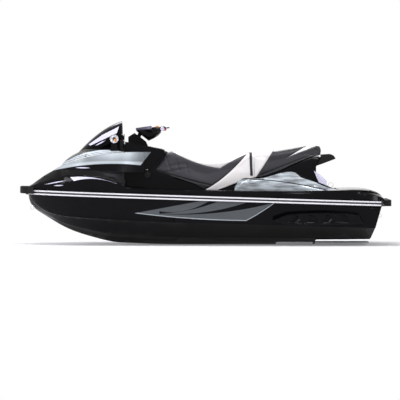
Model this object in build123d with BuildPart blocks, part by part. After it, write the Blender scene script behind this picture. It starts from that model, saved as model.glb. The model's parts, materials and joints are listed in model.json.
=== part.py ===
"""Three-seat sit-down personal watercraft, in millimetres.

+X is forward to the bow, +Y is port (left), +Z is up, and the origin lies on the centreline at
the waterline, halfway along the boat. Left and right pieces come from one block run for each side.
"""

from build123d import *
from math import atan, cos, radians, sin
import os

os.makedirs("parts", exist_ok=True)

SIDES = (("left", 1), ("right", -1))

# Hull and deck sections, bow to stern. Half widths are from the centreline, heights from the waterline.
# x, rail_y, chine_y, chine_z, keel_z, shoulder_y, shoulder_z, crown_y, crown_z
STATIONS = (
    (1530, 105, 40, 192, 184, 62, 248, 30, 256),
    (1500, 150, 70, 140, 88, 105, 262, 60, 270),
    (1431, 215, 105, 75, 29, 168, 280, 100, 318),
    (1300, 310, 170, 15, -53, 252, 318, 160, 392),
    (1083, 420, 275, -12, -154, 370, 346, 300, 402),
    (880, 482, 345, -24, -212, 438, 328, 325, 400),
    (680, 523, 395, -33, -239, 485, 252, 435, 252),
    (300, 564, 460, -48, -250, 530, 230, 472, 230),
    (-150, 584, 485, -60, -250, 549, 224, 490, 225),
    (-600, 588, 494, -73, -250, 553, 221, 492, 222),
    (-1000, 580, 494, -84, -248, 545, 224, 484, 226),
    (-1300, 565, 489, -93, -242, 528, 230, 466, 236),
    (-1540, 545, 482, -100, -236, 500, 150, 440, 155),
)
FOREDECK_COUNT = 7
COWL_FOOT_Y = 300
COWL_FOOT_Z = 400

# The sheer line, where hull and deck are bonded, lies in one plane that falls towards the stern.
SHEER_Z = 158
SHEER_SLOPE = 0.0306
RAIL_HALF_HEIGHT = 22
RAIL_DEPTH = 40
RAIL_STAND_OFF = 22
SHEER_TRIM = 3
BOW_X = 1556
BUMPER_BOW_X = 1605
BUMPER_STERN_X = -1605
STERN_X = -1540
TRANSOM_TOP_X = -1534
TRANSOM_FOOT_X = -1412
TRANSOM_FOOT_Z = -240
STERN_CORNER = 70
BOW_BUMPER_DROP = 14
BOW_BUMPER_HEIGHT = 64
BOW_BUMPER_ROUND = 10
STERN_BUMPER_HALF = 440
STERN_BUMPER_HEIGHT = 52

# Sponsons and the stern fittings
SPONSON_INNER_Y = 440
SPONSON_OUTER_Y = 572
SPONSON_SIDE = (
    (-583, -28),
    (-700, 20),
    (-831, 33),
    (-1048, 38),
    (-1222, 29),
    (-1318, 11),
    (-1353, -58),
    (-1222, -66),
    (-1005, -71),
    (-831, -76),
    (-683, -63),
    (-614, -41),
)

SPONSON_CHAMFER = 7
POCKETS = 4
POCKET_FRONT_X = -735
POCKET_PITCH = 138
POCKET_DEPTH = 16
POCKET_ROUND = 9
POCKET_EDGE = ((0, -40), (-105, -46), (-62, 12), (-18, 14))

EYE_FOOT = 5
EYE_WIRE = 8
BOW_EYE_X = 1486
BOW_EYE_Z = 78
BOW_EYE_TILT = -135
BOW_EYE_RADIUS = 11
STERN_EYE_X = -1493
STERN_EYE_Y = 330
STERN_EYE_Z = 10
STERN_EYE_TILT = 105.6
STERN_EYE_RADIUS = 11
TOW_RING_X = -1090
TOW_RING_Z = 246
TOW_RING_TILT = 25
TOW_RING_RADIUS = 16

# Clearances
PANEL_GAP = 5
RUNNING_FIT = 0.05
SEAT_FIT = 0.1

# Footwells, and the pedestal between them
WELL_FLOOR_Z = 95
WELL_SKIN = 14
WELL_FRONT_X = 690
WELL_FRONT_Y = 400
WELL_KNEE_X = 300
WELL_KNEE_Y = 450
WELL_REAR_X = -1150
WELL_REAR_Y = 462
MAT_THICK = 6
MAT_MARGIN = 18
PEDESTAL_HALF = 226
CORE_HALF = 180
CORE_WALL = 28

# Engine bay and front storage bin
BAY_FRONT_X = 180
BAY_REAR_X = -560
BAY_FLOOR_Z = -152
ENGINE_LENGTH = 520
ENGINE_WIDTH = 270
ENGINE_HEIGHT = 330
ENGINE_REAR_X = -515
BIN_FRONT_X = 1180
BIN_REAR_X = 760
BIN_HALF = 185
BIN_FLOOR_Z = 200

# Jet pump
PUMP_Z = -110
BULKHEAD_X = -960
TUNNEL_HALF = 130
TUNNEL_ROOF_Z = 90
BARREL_RADIUS = 74
BARREL_WALL = 10
BARREL_END_X = -1090
VENTURI_END_X = -1192
VENTURI_RADIUS = 44
VENTURI_WALL = 8
FLANGE_RADIUS = 106
FLANGE_THICK = 12
SHAFT_RADIUS = 12.5
SHAFT_FRONT_X = -535
COUPLING_RADIUS = 36
COUPLING_THICK = 18
HUB_RADIUS = 29
IMPELLER_FRONT_X = -975
IMPELLER_REAR_X = -1035
IMPELLER_TIP_GAP = 1.5
IMPELLER_BLADES = 4
BLADE_THICK = 4
# radius, pitch from fore-and-aft in degrees, chord
BLADE_SECTIONS = ((HUB_RADIUS - 4, 38, 62), (52, 52, 70), (BARREL_RADIUS - IMPELLER_TIP_GAP, 62, 80))
STATOR_FRONT_X = -1042
STATOR_REAR_X = -1120
STATOR_TIP_X = -1165
STATOR_VANES = 6
VANE_THICK = 5
SHAFT_REAR_X = -1100
TUBE_RADIUS = 22
TUBE_REAR_X = -800
DUCT_FRONT_X = -620
DUCT_REAR_X = -940
DUCT_HALF = 72
INTAKE_FRONT_X = -600
INTAKE_HALF = 100
INTAKE_ROOF_Z = -14
INTAKE_BOX = (INTAKE_FRONT_X - BULKHEAD_X, 2 * INTAKE_HALF, 400)
DUCT_TOP_X = -900
DUCT_TOP_Z = -38
NOZZLE_PIVOT_X = -1188
NOZZLE_FRONT_X = -1190
NOZZLE_REAR_X = -1300
NOZZLE_WALL = 6
NOZZLE_FRONT_RADIUS = 70
NOZZLE_REAR_RADIUS = 38
NOZZLE_PIN_RADIUS = 7
BUCKET_PIVOT_X = -1140
BUCKET_RADIUS = 178
BUCKET_WALL = 5
BUCKET_HALF = 94
BUCKET_LOW = 20
BUCKET_HIGH = 80
BUCKET_PIN_RADIUS = 8
RIDE_PLATE_Z = -236
RIDE_PLATE_THICK = 9
RIDE_PLATE_REAR_X = -1425
GRATE_BAR = 8
GRATE_BARS = 5

# Hood, which hinges at its front edge
HOOD_HINGE_X = 1240
HOOD_HINGE_Z = 414
HINGE_PIN_RADIUS = 6
HINGE_BARREL_RADIUS = 12
# x, edge_y, edge_z, side_y, side_z, crown_y, crown_z
HOOD_SECTIONS = (
    (1232, 172, 440, 148, 446, 72, 451),
    (1101, 258, 490, 232, 522, 120, 545),
    (950, 295, 525, 262, 556, 150, 606),
    (822, 298, 543, 262, 577, 168, 645),
    (695, 288, 553, 250, 582, 160, 650),
)
# x, foot_y, foot_z, edge_y, edge_z
NACELLE_SECTIONS = (
    (1345, 118, 350, 70, 368),
    (1255, 205, 360, 165, 426),
    (1101, 305, 380, 262, 485),
    (950, 335, 380, 300, 520),
    (822, 335, 380, 303, 538),
    (690, 320, 380, 293, 548),
    (520, 262, 380, 236, 548),
)
# x, half_width, edge_z, crown_z
SHIELD_SECTIONS = (
    (1112, 120, 500, 530),
    (980, 215, 545, 664),
    (850, 252, 610, 760),
    (716, 262, 690, 819),
)
SHIELD_THICK = 7
GAUGE_X = 733
GAUGE_Z = 674
GAUGE_RADIUS = 35
GAUGE_HALF = 85
GAUGE_ROUND = 9
LAMP_X = 778
LAMP_Z = 666
LAMP_RADIUS = 39
LAMP_INNER_Y = 262
LAMP_DEPTH = 34
LAMP_ROUND = 12
LAMP_STALK = 18
LAMP_DROP = 115
HOOD_HINGE_YS = (-70, 70)
HINGE_WIDTH = 44

# Console and glovebox
CONSOLE_HALF = 232
CONSOLE_FRONT_X = 685
LID_FRONT_X = 462
LID_REAR_X = 362
LID_HALF = 92
LID_THICK = 12
LID_REST = 0.3
LID_PIN_RADIUS = 3
LID_FRONT_Z = 600
LID_REAR_Z = 574
GLOVEBOX_DEPTH = 90

LID_SLOPE = 11
GLOVEBOX_TOP = Location(
    ((LID_FRONT_X + LID_REAR_X) / 2, 0, (LID_FRONT_Z + LID_REAR_Z) / 2),
    (0, -LID_SLOPE, 0),
)
CONSOLE_SIDE = (
    (CONSOLE_FRONT_X, 548),
    (CONSOLE_FRONT_X, 640),
    (640, 632),
    (478, 600),
    (346, 570),
    (346, 541),
    (478, 402),
    (522, 398),
    (522, 548),
)

# Side profiles of the pedestal and of its core, x then z
PEDESTAL_SIDE = (
    (WELL_FRONT_X, WELL_FLOOR_Z),
    (WELL_FRONT_X, 402),
    (522, 398),
    (478, 392),
    (420, 348),
    (330, 332),
    (257, 322),
    (170, 300),
    (83, 265),
    (-4, 218),
    (-117, 218),
    (-178, 240),
    (-309, 292),
    (-413, 319),
    (-526, 340),
    (-674, 392),
    (-744, 427),
    (-831, 466),
    (-918, 501),
    (-990, 515),
    (-965, 440),
    (-944, 392),
    (-1005, 351),
    (-1052, 300),
    (-1060, 260),
    (-1116, 234),
    (-1150, 226),
    (-1150, WELL_FLOOR_Z),
)
HANDLE_SIDE = (
    (-955, 410),
    (-970, 433),
    (-1022, 451),
    (-1135, 494),
    (-1118, 520),
    (-1092, 533),
    (-1014, 528),
    (-1014, 508),
    (-985, 500),
    (-940, 430),
)
HANDLE_HALF = 188
HANDLE_GAP_HALF = 132
HANDLE_GAP_FRONT_X = -1020
HANDLE_GAP_REAR_X = -1096
# x, outer_y, line_z, top_y, top_z
QUARTER_SECTIONS = (
    (-260, 234, 236, 230, 244),
    (-430, 262, 312, 238, 322),
    (-600, 288, 304, 262, 352),
    (-760, 308, 281, 276, 376),
    (-920, 330, 248, 290, 312),
    (-1080, 356, 219, 300, 240),
    (-1146, 368, 208, 300, 222),
)
CAP_X = 492
CAP_Z = 353
CAP_RADIUS = 29
CAP_DEPTH = 10
# The seat's hollow, along its floor from the front, x then z
SEAT_FLOOR = (
    (455, 384),
    (312, 466),
    (262, 462),
    (170, 453),
    (65, 409),
    (-74, 397),
    (-257, 407),
    (-370, 445),
    (-483, 463),
    (-744, 485),
    (-965, 517),
)
CORE_FRONT_COUNT = 2
CORE_NOSE = (
    (450, 340),
    (305, 340),
)

# Steering
COLUMN_SIDE = (
    (662, 632),
    (662, 682),
    (609, 716),
    (545, 673),
    (508, 642),
    (487, 596),
    (640, 600),
)
COLUMN_HALF = 62
BAR_RISE = 84
STEM_DEPTH = 40
BAR_DROP = -8
BAR_BEND = 60
SWITCH_HALF = 20
SWITCH_LENGTH = 52
PAD_THICK = 26
PAD_EDGE = ((0, 0, 40), (0, 70, 30), (40, 100, 24), (75, 155, 18), (75, 155, -22), (40, 100, -26), (0, 0, -40))
LEVER_THICK = 9
LEVER_ROOT = SWITCH_HALF + 6
LEVER_TURN = {"left": -1, "right": 1}
LEVER_EDGE = (
    (134, LEVER_ROOT),
    (134, 38),
    (114, 52),
    (14, 46),
    (10, 54),
    (14, 62),
    (118, 66),
    (154, 42),
    (158, LEVER_ROOT),
)
STEER_X = 585
STEER_Z = 650
STEER_LEAN = 22
STEM_RADIUS = 17
BAR_RADIUS = 11
GRIP_RADIUS = 17
GRIP_LENGTH = 125

# Seat side profile, x then z: along the top from the front, then back along the skirt's hem
SEAT_TOP = (
    (322, 546),
    (283, 551),
    (170, 536),
    (65, 496),
    (-4, 481),
    (-130, 488),
    (-257, 497),
    (-370, 534),
    (-430, 541),
)
SEAT_HEM = (
    (-430, 330),
    (-309, 298),
    (-178, 246),
    (-117, 224),
    (-4, 224),
    (83, 272),
    (257, 333),
    (344, 359),
    (465, 394),
)
REAR_SEAT_TOP = (
    (-430, 541),
    (-483, 552),
    (-561, 566),
    (-600, 549),
    (-744, 572),
    (-857, 592),
    (-961, 622),
    (-990, 612),
    (-1008, 568),
    (-1000, 525),
)
REAR_SEAT_HEM = (
    (-918, 507),
    (-831, 472),
    (-744, 433),
    (-674, 398),
    (-526, 346),
    (-430, 330),
)

# Seat hinge
SEAT_HINGE_X = 330
SEAT_HINGE_Z = 546
SEAT_HALF = 214
SEAT_BEND = 25
SEAT_ROUND = 34
SEAT_ROUND_ABOVE = 440
REAR_SEAT_ROUND_ABOVE = 520
SEAT_PIN_RADIUS = 5
SEAT_KNUCKLE_RADIUS = 9
SEAT_KNUCKLE_HALF = 50
SEAT_EAR_THICK = 10
SEAT_EAR = (
    (SEAT_HINGE_X, SEAT_HINGE_Z - 9),
    (SEAT_HINGE_X, SEAT_HINGE_Z + 9),
    (360, 562),
    (360, 540),
)


def across(x):
    """The plane square to the keel at x, whose own axes are +Y and +Z."""
    return Plane(origin=(x, 0, 0), x_dir=(0, 1, 0), z_dir=(1, 0, 0))


def both_sides(half):
    """A closed section from its port half, listed from the centreline or the bottom upwards."""
    return half + [(-y, z) for y, z in reversed(half) if y > 0]


def sheer_z(x):
    return SHEER_Z + SHEER_SLOPE * x


STEER_UP = Vector(-sin(radians(STEER_LEAN)), 0, cos(radians(STEER_LEAN)))
BAR_CENTRE = Vector(STEER_X, 0, STEER_Z) + STEER_UP * BAR_RISE
CORE_SIDE = [
    *CORE_NOSE,
    *[(x, z - PANEL_GAP) for x, z in SEAT_FLOOR[CORE_FRONT_COUNT:]],
    (SEAT_FLOOR[-1][0], WELL_FLOOR_Z),
    (CORE_NOSE[0][0], WELL_FLOOR_Z),
]
SHEER = Plane(
    origin=(0, 0, SHEER_Z),
    x_dir=(cos(atan(SHEER_SLOPE)), 0, sin(atan(SHEER_SLOPE))),
    z_dir=(-sin(atan(SHEER_SLOPE)), 0, cos(atan(SHEER_SLOPE))),
)
STEER_PLANE = Plane(
    origin=(STEER_X, 0, STEER_Z),
    x_dir=(cos(radians(STEER_LEAN)), 0, sin(radians(STEER_LEAN))),
    z_dir=(-sin(radians(STEER_LEAN)), 0, cos(radians(STEER_LEAN))),
)
BAR_PLANE = Plane(
    origin=BAR_CENTRE,
    x_dir=(cos(radians(BAR_DROP)), 0, sin(radians(BAR_DROP))),
    z_dir=(-sin(radians(BAR_DROP)), 0, cos(radians(BAR_DROP))),
)
PUMP_AXIS = Axis((0, 0, PUMP_Z), (1, 0, 0))


BUCKET_WEDGE = [(BUCKET_PIVOT_X, PUMP_Z)] + [
    (
        BUCKET_PIVOT_X - 2 * BUCKET_RADIUS * cos(radians(angle)),
        PUMP_Z + 2 * BUCKET_RADIUS * sin(radians(angle)),
    )
    for angle in (BUCKET_LOW, BUCKET_HIGH)
]


def hull_half(row):
    x, rail_y, chine_y, chine_z, keel_z = row[:5]
    rise = chine_z - keel_z
    return [
        (0, keel_z),
        (0.35 * chine_y, keel_z + 0.33 * rise),
        (0.41 * chine_y, keel_z + 0.33 * rise),
        (0.93 * chine_y, chine_z),
        (chine_y, chine_z),
        (rail_y - RAIL_STAND_OFF, sheer_z(x) + SHEER_TRIM),
    ]


def deck_half(row, crown):
    x, rail_y = row[:2]
    return [(rail_y - RAIL_STAND_OFF, sheer_z(x) - SHEER_TRIM), (row[5], row[6]), crown]


def well_points(grow):
    """The footwells' plan, x then y, with every wall moved outwards by grow."""
    port = [
        (WELL_FRONT_X + grow, WELL_FRONT_Y + grow),
        (WELL_KNEE_X, WELL_KNEE_Y + grow),
        (WELL_REAR_X - grow, WELL_REAR_Y + grow),
    ]
    return port + [(x, -y) for x, y in reversed(port)]


def outline_arcs():
    """The port edge of the rail as arcs through three stations at a time."""
    points = [(row[0], row[1]) for row in STATIONS]
    return [points[i : i + 3] for i in range(0, len(points) - 1, 2)]


# Rub rail round the whole boat
with BuildPart() as rub_rail:
    with BuildSketch(SHEER) as rail_plan:
        with BuildLine():
            for start, middle, end in outline_arcs():
                ThreePointArc(start, middle, end)
                ThreePointArc(*[(x, -y) for x, y in (start, middle, end)])
            bow_y = STATIONS[0][1]
            ThreePointArc((STATIONS[0][0], bow_y), (BOW_X, 0), (STATIONS[0][0], -bow_y))
            Line((STERN_X, STATIONS[-1][1]), (STERN_X, -STATIONS[-1][1]))
        make_face()
        fillet(rail_plan.vertices().group_by(Axis.X)[0], STERN_CORNER)
    extrude(amount=RAIL_HALF_HEIGHT, both=True)
    with BuildSketch(SHEER) as rail_inside:
        add(rail_plan.sketch)
        offset(amount=-RAIL_DEPTH, mode=Mode.REPLACE)
    extrude(amount=RAIL_HALF_HEIGHT, both=True, mode=Mode.SUBTRACT)
rub_rail.part.label = "rub_rail"
export_step(rub_rail.part, "parts/rub_rail.step")

# Hull: a V bottom with one lifting strake and a hard chine each side, solid up to the sheer
with BuildPart() as hull_form:
    for row in STATIONS:
        with BuildSketch(across(row[0])):
            Polygon(*both_sides(hull_half(row)), align=None)
    loft()
    split(bisect_by=SHEER, keep=Keep.BOTTOM)
    add(rub_rail.part, mode=Mode.SUBTRACT)
    with BuildSketch(Plane.XZ):
        Polygon(
            (TRANSOM_TOP_X, SHEER_Z),
            (TRANSOM_FOOT_X, TRANSOM_FOOT_Z - 40),
            (STERN_X - 200, TRANSOM_FOOT_Z - 40),
            (STERN_X - 200, SHEER_Z),
            align=None,
        )
    extrude(amount=800, both=True, mode=Mode.SUBTRACT)

with BuildPart() as hull:
    add(hull_form.part)
    with BuildSketch(Plane.XY.offset(WELL_FLOOR_Z - WELL_SKIN)):
        Polygon(*well_points(WELL_SKIN), align=None)
    extrude(amount=400, mode=Mode.SUBTRACT)
    with Locations((0, 0, BAY_FLOOR_Z)):
        with Locations(((BAY_FRONT_X + BAY_REAR_X) / 2, 0, 0)):
            Box(
                BAY_FRONT_X - BAY_REAR_X,
                2 * (CORE_HALF - CORE_WALL),
                600,
                align=(Align.CENTER, Align.CENTER, Align.MIN),
                mode=Mode.SUBTRACT,
            )
    with BuildSketch(Plane.XZ):
        Polygon(
            (BULKHEAD_X, RIDE_PLATE_Z - 60),
            (BULKHEAD_X, TUNNEL_ROOF_Z),
            (STERN_X - 100, TUNNEL_ROOF_Z),
            (STERN_X - 100, RIDE_PLATE_Z - 60),
            align=None,
        )
    extrude(amount=TUNNEL_HALF, both=True, mode=Mode.SUBTRACT)
    with Locations((BULKHEAD_X, 0, INTAKE_ROOF_Z)):
        Box(*INTAKE_BOX, align=(Align.MIN, Align.CENTER, Align.MAX), mode=Mode.SUBTRACT)
    with BuildSketch(across(INTAKE_FRONT_X)):
        with Locations((0, PUMP_Z)):
            Circle(TUBE_RADIUS + SEAT_FIT)
    extrude(amount=BAY_REAR_X - INTAKE_FRONT_X + 1, mode=Mode.SUBTRACT)
hull.part.label = "hull"
export_step(hull.part, "parts/hull.step")

# Pump intake: the moulded duct let into the hull, from the grate up to the pump's bore
with BuildPart() as pump_intake:
    add(hull_form.part)
    with Locations((BULKHEAD_X, 0, INTAKE_ROOF_Z)):
        Box(*INTAKE_BOX, align=(Align.MIN, Align.CENTER, Align.MAX), mode=Mode.INTERSECT)
    with BuildSketch(Plane.XZ):
        Polygon(
            (DUCT_FRONT_X, RIDE_PLATE_Z - 60),
            (DUCT_REAR_X, RIDE_PLATE_Z - 60),
            (DUCT_REAR_X, DUCT_TOP_Z),
            (DUCT_TOP_X, DUCT_TOP_Z),
            (DUCT_FRONT_X, RIDE_PLATE_Z - 4),
            align=None,
        )
    extrude(amount=DUCT_HALF, both=True, mode=Mode.SUBTRACT)
    with BuildSketch(across(BULKHEAD_X - 1)):
        with Locations((0, PUMP_Z)):
            Circle(BARREL_RADIUS)
    extrude(amount=DUCT_REAR_X - BULKHEAD_X + 21, mode=Mode.SUBTRACT)
    with BuildSketch(across(DUCT_TOP_X)):
        with Locations((0, PUMP_Z)):
            Circle(TUBE_RADIUS + SEAT_FIT)
    extrude(amount=INTAKE_FRONT_X - DUCT_TOP_X + 1, mode=Mode.SUBTRACT)
pump_intake.part.label = "pump_intake"
export_step(pump_intake.part, "parts/pump_intake.step")

# Deck moulding: foredeck, side coamings, footwell tub and stern deck
with BuildPart() as deck:
    for row in STATIONS[: FOREDECK_COUNT]:
        crown = (row[7], row[8])
        if row is STATIONS[FOREDECK_COUNT - 1]:
            crown = (COWL_FOOT_Y, COWL_FOOT_Z)
        with BuildSketch(across(row[0])):
            Polygon(*both_sides(deck_half(row, crown)), align=None)
    loft()
    for row in STATIONS[FOREDECK_COUNT - 1 :]:
        with BuildSketch(across(row[0])):
            Polygon(*both_sides(deck_half(row, (row[7], row[8]))), align=None)
    loft()
    split(bisect_by=SHEER, keep=Keep.TOP)
    with BuildSketch(Plane.XY.offset(WELL_FLOOR_Z - WELL_SKIN)):
        Polygon(*well_points(WELL_SKIN), align=None)
    extrude(amount=SHEER_Z + 20 - WELL_FLOOR_Z)
    with BuildSketch(Plane.XY.offset(WELL_FLOOR_Z)):
        Polygon(*well_points(0), align=None)
    extrude(amount=400, mode=Mode.SUBTRACT)
    add(rub_rail.part, mode=Mode.SUBTRACT)
    with Locations(((BAY_FRONT_X + BAY_REAR_X) / 2, 0, BAY_FLOOR_Z)):
        Box(
            BAY_FRONT_X - BAY_REAR_X,
            2 * (CORE_HALF - CORE_WALL),
            600,
            align=(Align.CENTER, Align.CENTER, Align.MIN),
            mode=Mode.SUBTRACT,
        )
    with Locations(((BIN_FRONT_X + BIN_REAR_X) / 2, 0, BIN_FLOOR_Z)):
        Box(
            BIN_FRONT_X - BIN_REAR_X,
            2 * BIN_HALF,
            600,
            align=(Align.CENTER, Align.CENTER, Align.MIN),
            mode=Mode.SUBTRACT,
        )
    for hinge_y in HOOD_HINGE_YS:
        with Locations((HOOD_HINGE_X, hinge_y, HOOD_HINGE_Z)):
            Box(60, HINGE_WIDTH, 60, mode=Mode.SUBTRACT)
deck.part.label = "deck"
export_step(deck.part, "parts/deck.step")

# Bow and stern bumpers wrap the ends of the rub rail
with BuildPart() as bow_bumper:
    with BuildSketch(SHEER.offset(-BOW_BUMPER_DROP)):
        with BuildLine():
            ThreePointArc((1535, 122), (BUMPER_BOW_X, 0), (1535, -122))
            Line((1535, -122), (1480, -195))
            ThreePointArc((1480, -195), (1545, 0), (1480, 195))
            Line((1480, 195), (1535, 122))
        make_face()
    extrude(amount=BOW_BUMPER_HEIGHT)
    tips = bow_bumper.edges().filter_by(GeomType.CIRCLE).filter_by(lambda e: e.center().X > BOW_X)
    fillet(tips, BOW_BUMPER_ROUND)
    add(rub_rail.part, mode=Mode.SUBTRACT)
    add(hull.part, mode=Mode.SUBTRACT)
    add(deck.part, mode=Mode.SUBTRACT)
bow_bumper.part.label = "bow_bumper"
export_step(bow_bumper.part, "parts/bow_bumper.step")

with BuildPart() as stern_bumper:
    with BuildSketch(Plane.XY.offset(sheer_z(STERN_X) - RAIL_HALF_HEIGHT)) as stern_plan:
        with Locations(((BUMPER_STERN_X + STERN_X) / 2, 0)):
            Rectangle(STERN_X - BUMPER_STERN_X, 2 * STERN_BUMPER_HALF)
        fillet(stern_plan.vertices().group_by(Axis.X)[0], STERN_X - BUMPER_STERN_X - 5)
    extrude(amount=STERN_BUMPER_HEIGHT)
stern_bumper.part.label = "stern_bumper"
export_step(stern_bumper.part, "parts/stern_bumper.step")

# Pedestal between the footwells: a wide shell up to the seat's skirts and a narrower core under the cushion
with BuildPart() as pedestal:
    with BuildSketch(Plane.XZ):
        Polygon(*PEDESTAL_SIDE, align=None)
    extrude(amount=PEDESTAL_HALF, both=True)
    with BuildSketch(Plane.XZ):
        Polygon(*CORE_SIDE, align=None)
    extrude(amount=CORE_HALF, both=True)
    with Locations(((BAY_FRONT_X + BAY_REAR_X) / 2, 0, BAY_FLOOR_Z)):
        Box(
            BAY_FRONT_X - BAY_REAR_X,
            2 * (CORE_HALF - CORE_WALL),
            900,
            align=(Align.CENTER, Align.CENTER, Align.MIN),
            mode=Mode.SUBTRACT,
        )
    add(deck.part, mode=Mode.SUBTRACT)
pedestal.part.label = "pedestal"
export_step(pedestal.part, "parts/pedestal.step")

# Silver nacelle that carries the hood, open above over the storage bin
with BuildPart() as nacelle:
    for x, foot_y, foot_z, edge_y, edge_z in NACELLE_SECTIONS:
        with BuildSketch(across(x)):
            Polygon(*both_sides([(foot_y, foot_z), (edge_y, edge_z)]), align=None)
    loft()
    with Locations(((BIN_FRONT_X + BIN_REAR_X) / 2, 0, BIN_FLOOR_Z)):
        Box(
            BIN_FRONT_X - BIN_REAR_X,
            2 * BIN_HALF,
            600,
            align=(Align.CENTER, Align.CENTER, Align.MIN),
            mode=Mode.SUBTRACT,
        )
    for hinge_y in HOOD_HINGE_YS:
        with Locations((HOOD_HINGE_X, hinge_y, HOOD_HINGE_Z)):
            Box(60, HINGE_WIDTH, 60, mode=Mode.SUBTRACT)
        with BuildSketch(Plane.XZ.offset(-hinge_y - HINGE_WIDTH / 2)):
            with Locations((HOOD_HINGE_X, HOOD_HINGE_Z)):
                Circle(HINGE_PIN_RADIUS)
        extrude(amount=HINGE_WIDTH)
    add(deck.part, mode=Mode.SUBTRACT)
    add(pedestal.part, mode=Mode.SUBTRACT)
nacelle.part.label = "nacelle"
export_step(nacelle.part, "parts/nacelle.step")

# Hood lid with its two hinge knuckles
with BuildPart() as hood:
    for x, edge_y, edge_z, side_y, side_z, crown_y, crown_z in HOOD_SECTIONS:
        with BuildSketch(across(x)):
            Polygon(*both_sides([(edge_y, edge_z), (side_y, side_z), (crown_y, crown_z)]), align=None)
    loft()
    for hinge_y in HOOD_HINGE_YS:
        with BuildSketch(Plane.XZ.offset(-hinge_y - HINGE_WIDTH / 2 + PANEL_GAP)):
            with Locations((HOOD_HINGE_X, HOOD_HINGE_Z)):
                Circle(HINGE_BARREL_RADIUS)
            Polygon(
                (HOOD_HINGE_X - 12, HOOD_HINGE_Z),
                (HOOD_HINGE_X + 8, HOOD_HINGE_Z + 9),
                (HOOD_HINGE_X - 4, HOOD_HINGE_Z + 30),
                (HOOD_HINGE_X - 24, HOOD_HINGE_Z + 30),
                align=None,
            )
        extrude(amount=HINGE_WIDTH - 2 * PANEL_GAP)
        with BuildSketch(Plane.XZ.offset(-hinge_y - HINGE_WIDTH / 2)):
            with Locations((HOOD_HINGE_X, HOOD_HINGE_Z)):
                Circle(HINGE_PIN_RADIUS + RUNNING_FIT)
        extrude(amount=HINGE_WIDTH, mode=Mode.SUBTRACT)
hood.part.label = "hood"
export_step(hood.part, "parts/hood.step")

# Windshield: an arched shell, cut to the hood it stands on
with BuildPart() as windshield:
    for x, half, edge_z, crown_z in SHIELD_SECTIONS:
        with BuildSketch(across(x)):
            with BuildLine():
                ThreePointArc((half, edge_z), (0, crown_z), (-half, edge_z))
                Line((-half, edge_z), (half, edge_z))
            make_face()
    loft()
    for x, half, edge_z, crown_z in SHIELD_SECTIONS:
        inner = half - SHIELD_THICK
        with BuildSketch(across(x - 1)):
            with BuildLine():
                ThreePointArc(
                    (inner, edge_z - SHIELD_THICK),
                    (0, crown_z - SHIELD_THICK),
                    (-inner, edge_z - SHIELD_THICK),
                )
                Line((-inner, edge_z - SHIELD_THICK), (inner, edge_z - SHIELD_THICK))
            make_face()
    loft(mode=Mode.SUBTRACT)
    add(hood.part, mode=Mode.SUBTRACT)
    add(nacelle.part, mode=Mode.SUBTRACT)
windshield.part.label = "windshield"
export_step(windshield.part, "parts/windshield.step")

# Gauge pod on the hood's rear edge, under the windshield
with BuildPart() as gauge_pod:
    with BuildSketch(Plane.XZ):
        with Locations((GAUGE_X, GAUGE_Z)):
            Circle(GAUGE_RADIUS)
    extrude(amount=GAUGE_HALF, both=True)
    fillet(gauge_pod.edges().filter_by(GeomType.CIRCLE), GAUGE_ROUND)
    add(hood.part, mode=Mode.SUBTRACT)
gauge_pod.part.label = "gauge_pod"
export_step(gauge_pod.part, "parts/gauge_pod.step")

# Round lamp pods on short stalks outside the windshield
for side, sign in SIDES:
    with BuildPart() as lamp_pod:
        with BuildSketch(Plane.XZ.offset(-sign * LAMP_INNER_Y)):
            with Locations((LAMP_X, LAMP_Z)):
                Circle(LAMP_RADIUS)
        extrude(amount=-sign * LAMP_DEPTH)
        rims = lamp_pod.edges().filter_by(GeomType.CIRCLE).sort_by(Axis.Y)
        fillet(rims[-1 if sign > 0 else 0], LAMP_ROUND)
        with BuildSketch(Plane.XZ.offset(-sign * LAMP_INNER_Y)):
            Polygon(
                (LAMP_X - 20, LAMP_Z),
                (LAMP_X + 20, LAMP_Z),
                (LAMP_X + 34, LAMP_Z - LAMP_DROP),
                (LAMP_X - 30, LAMP_Z - LAMP_DROP),
                align=None,
            )
        extrude(amount=-sign * LAMP_STALK)
        add(hood.part, mode=Mode.SUBTRACT)
    lamp_pod.part.label = f"lamp_pod_{side}"
    export_step(lamp_pod.part, f"parts/lamp_pod_{side}.step")

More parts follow.
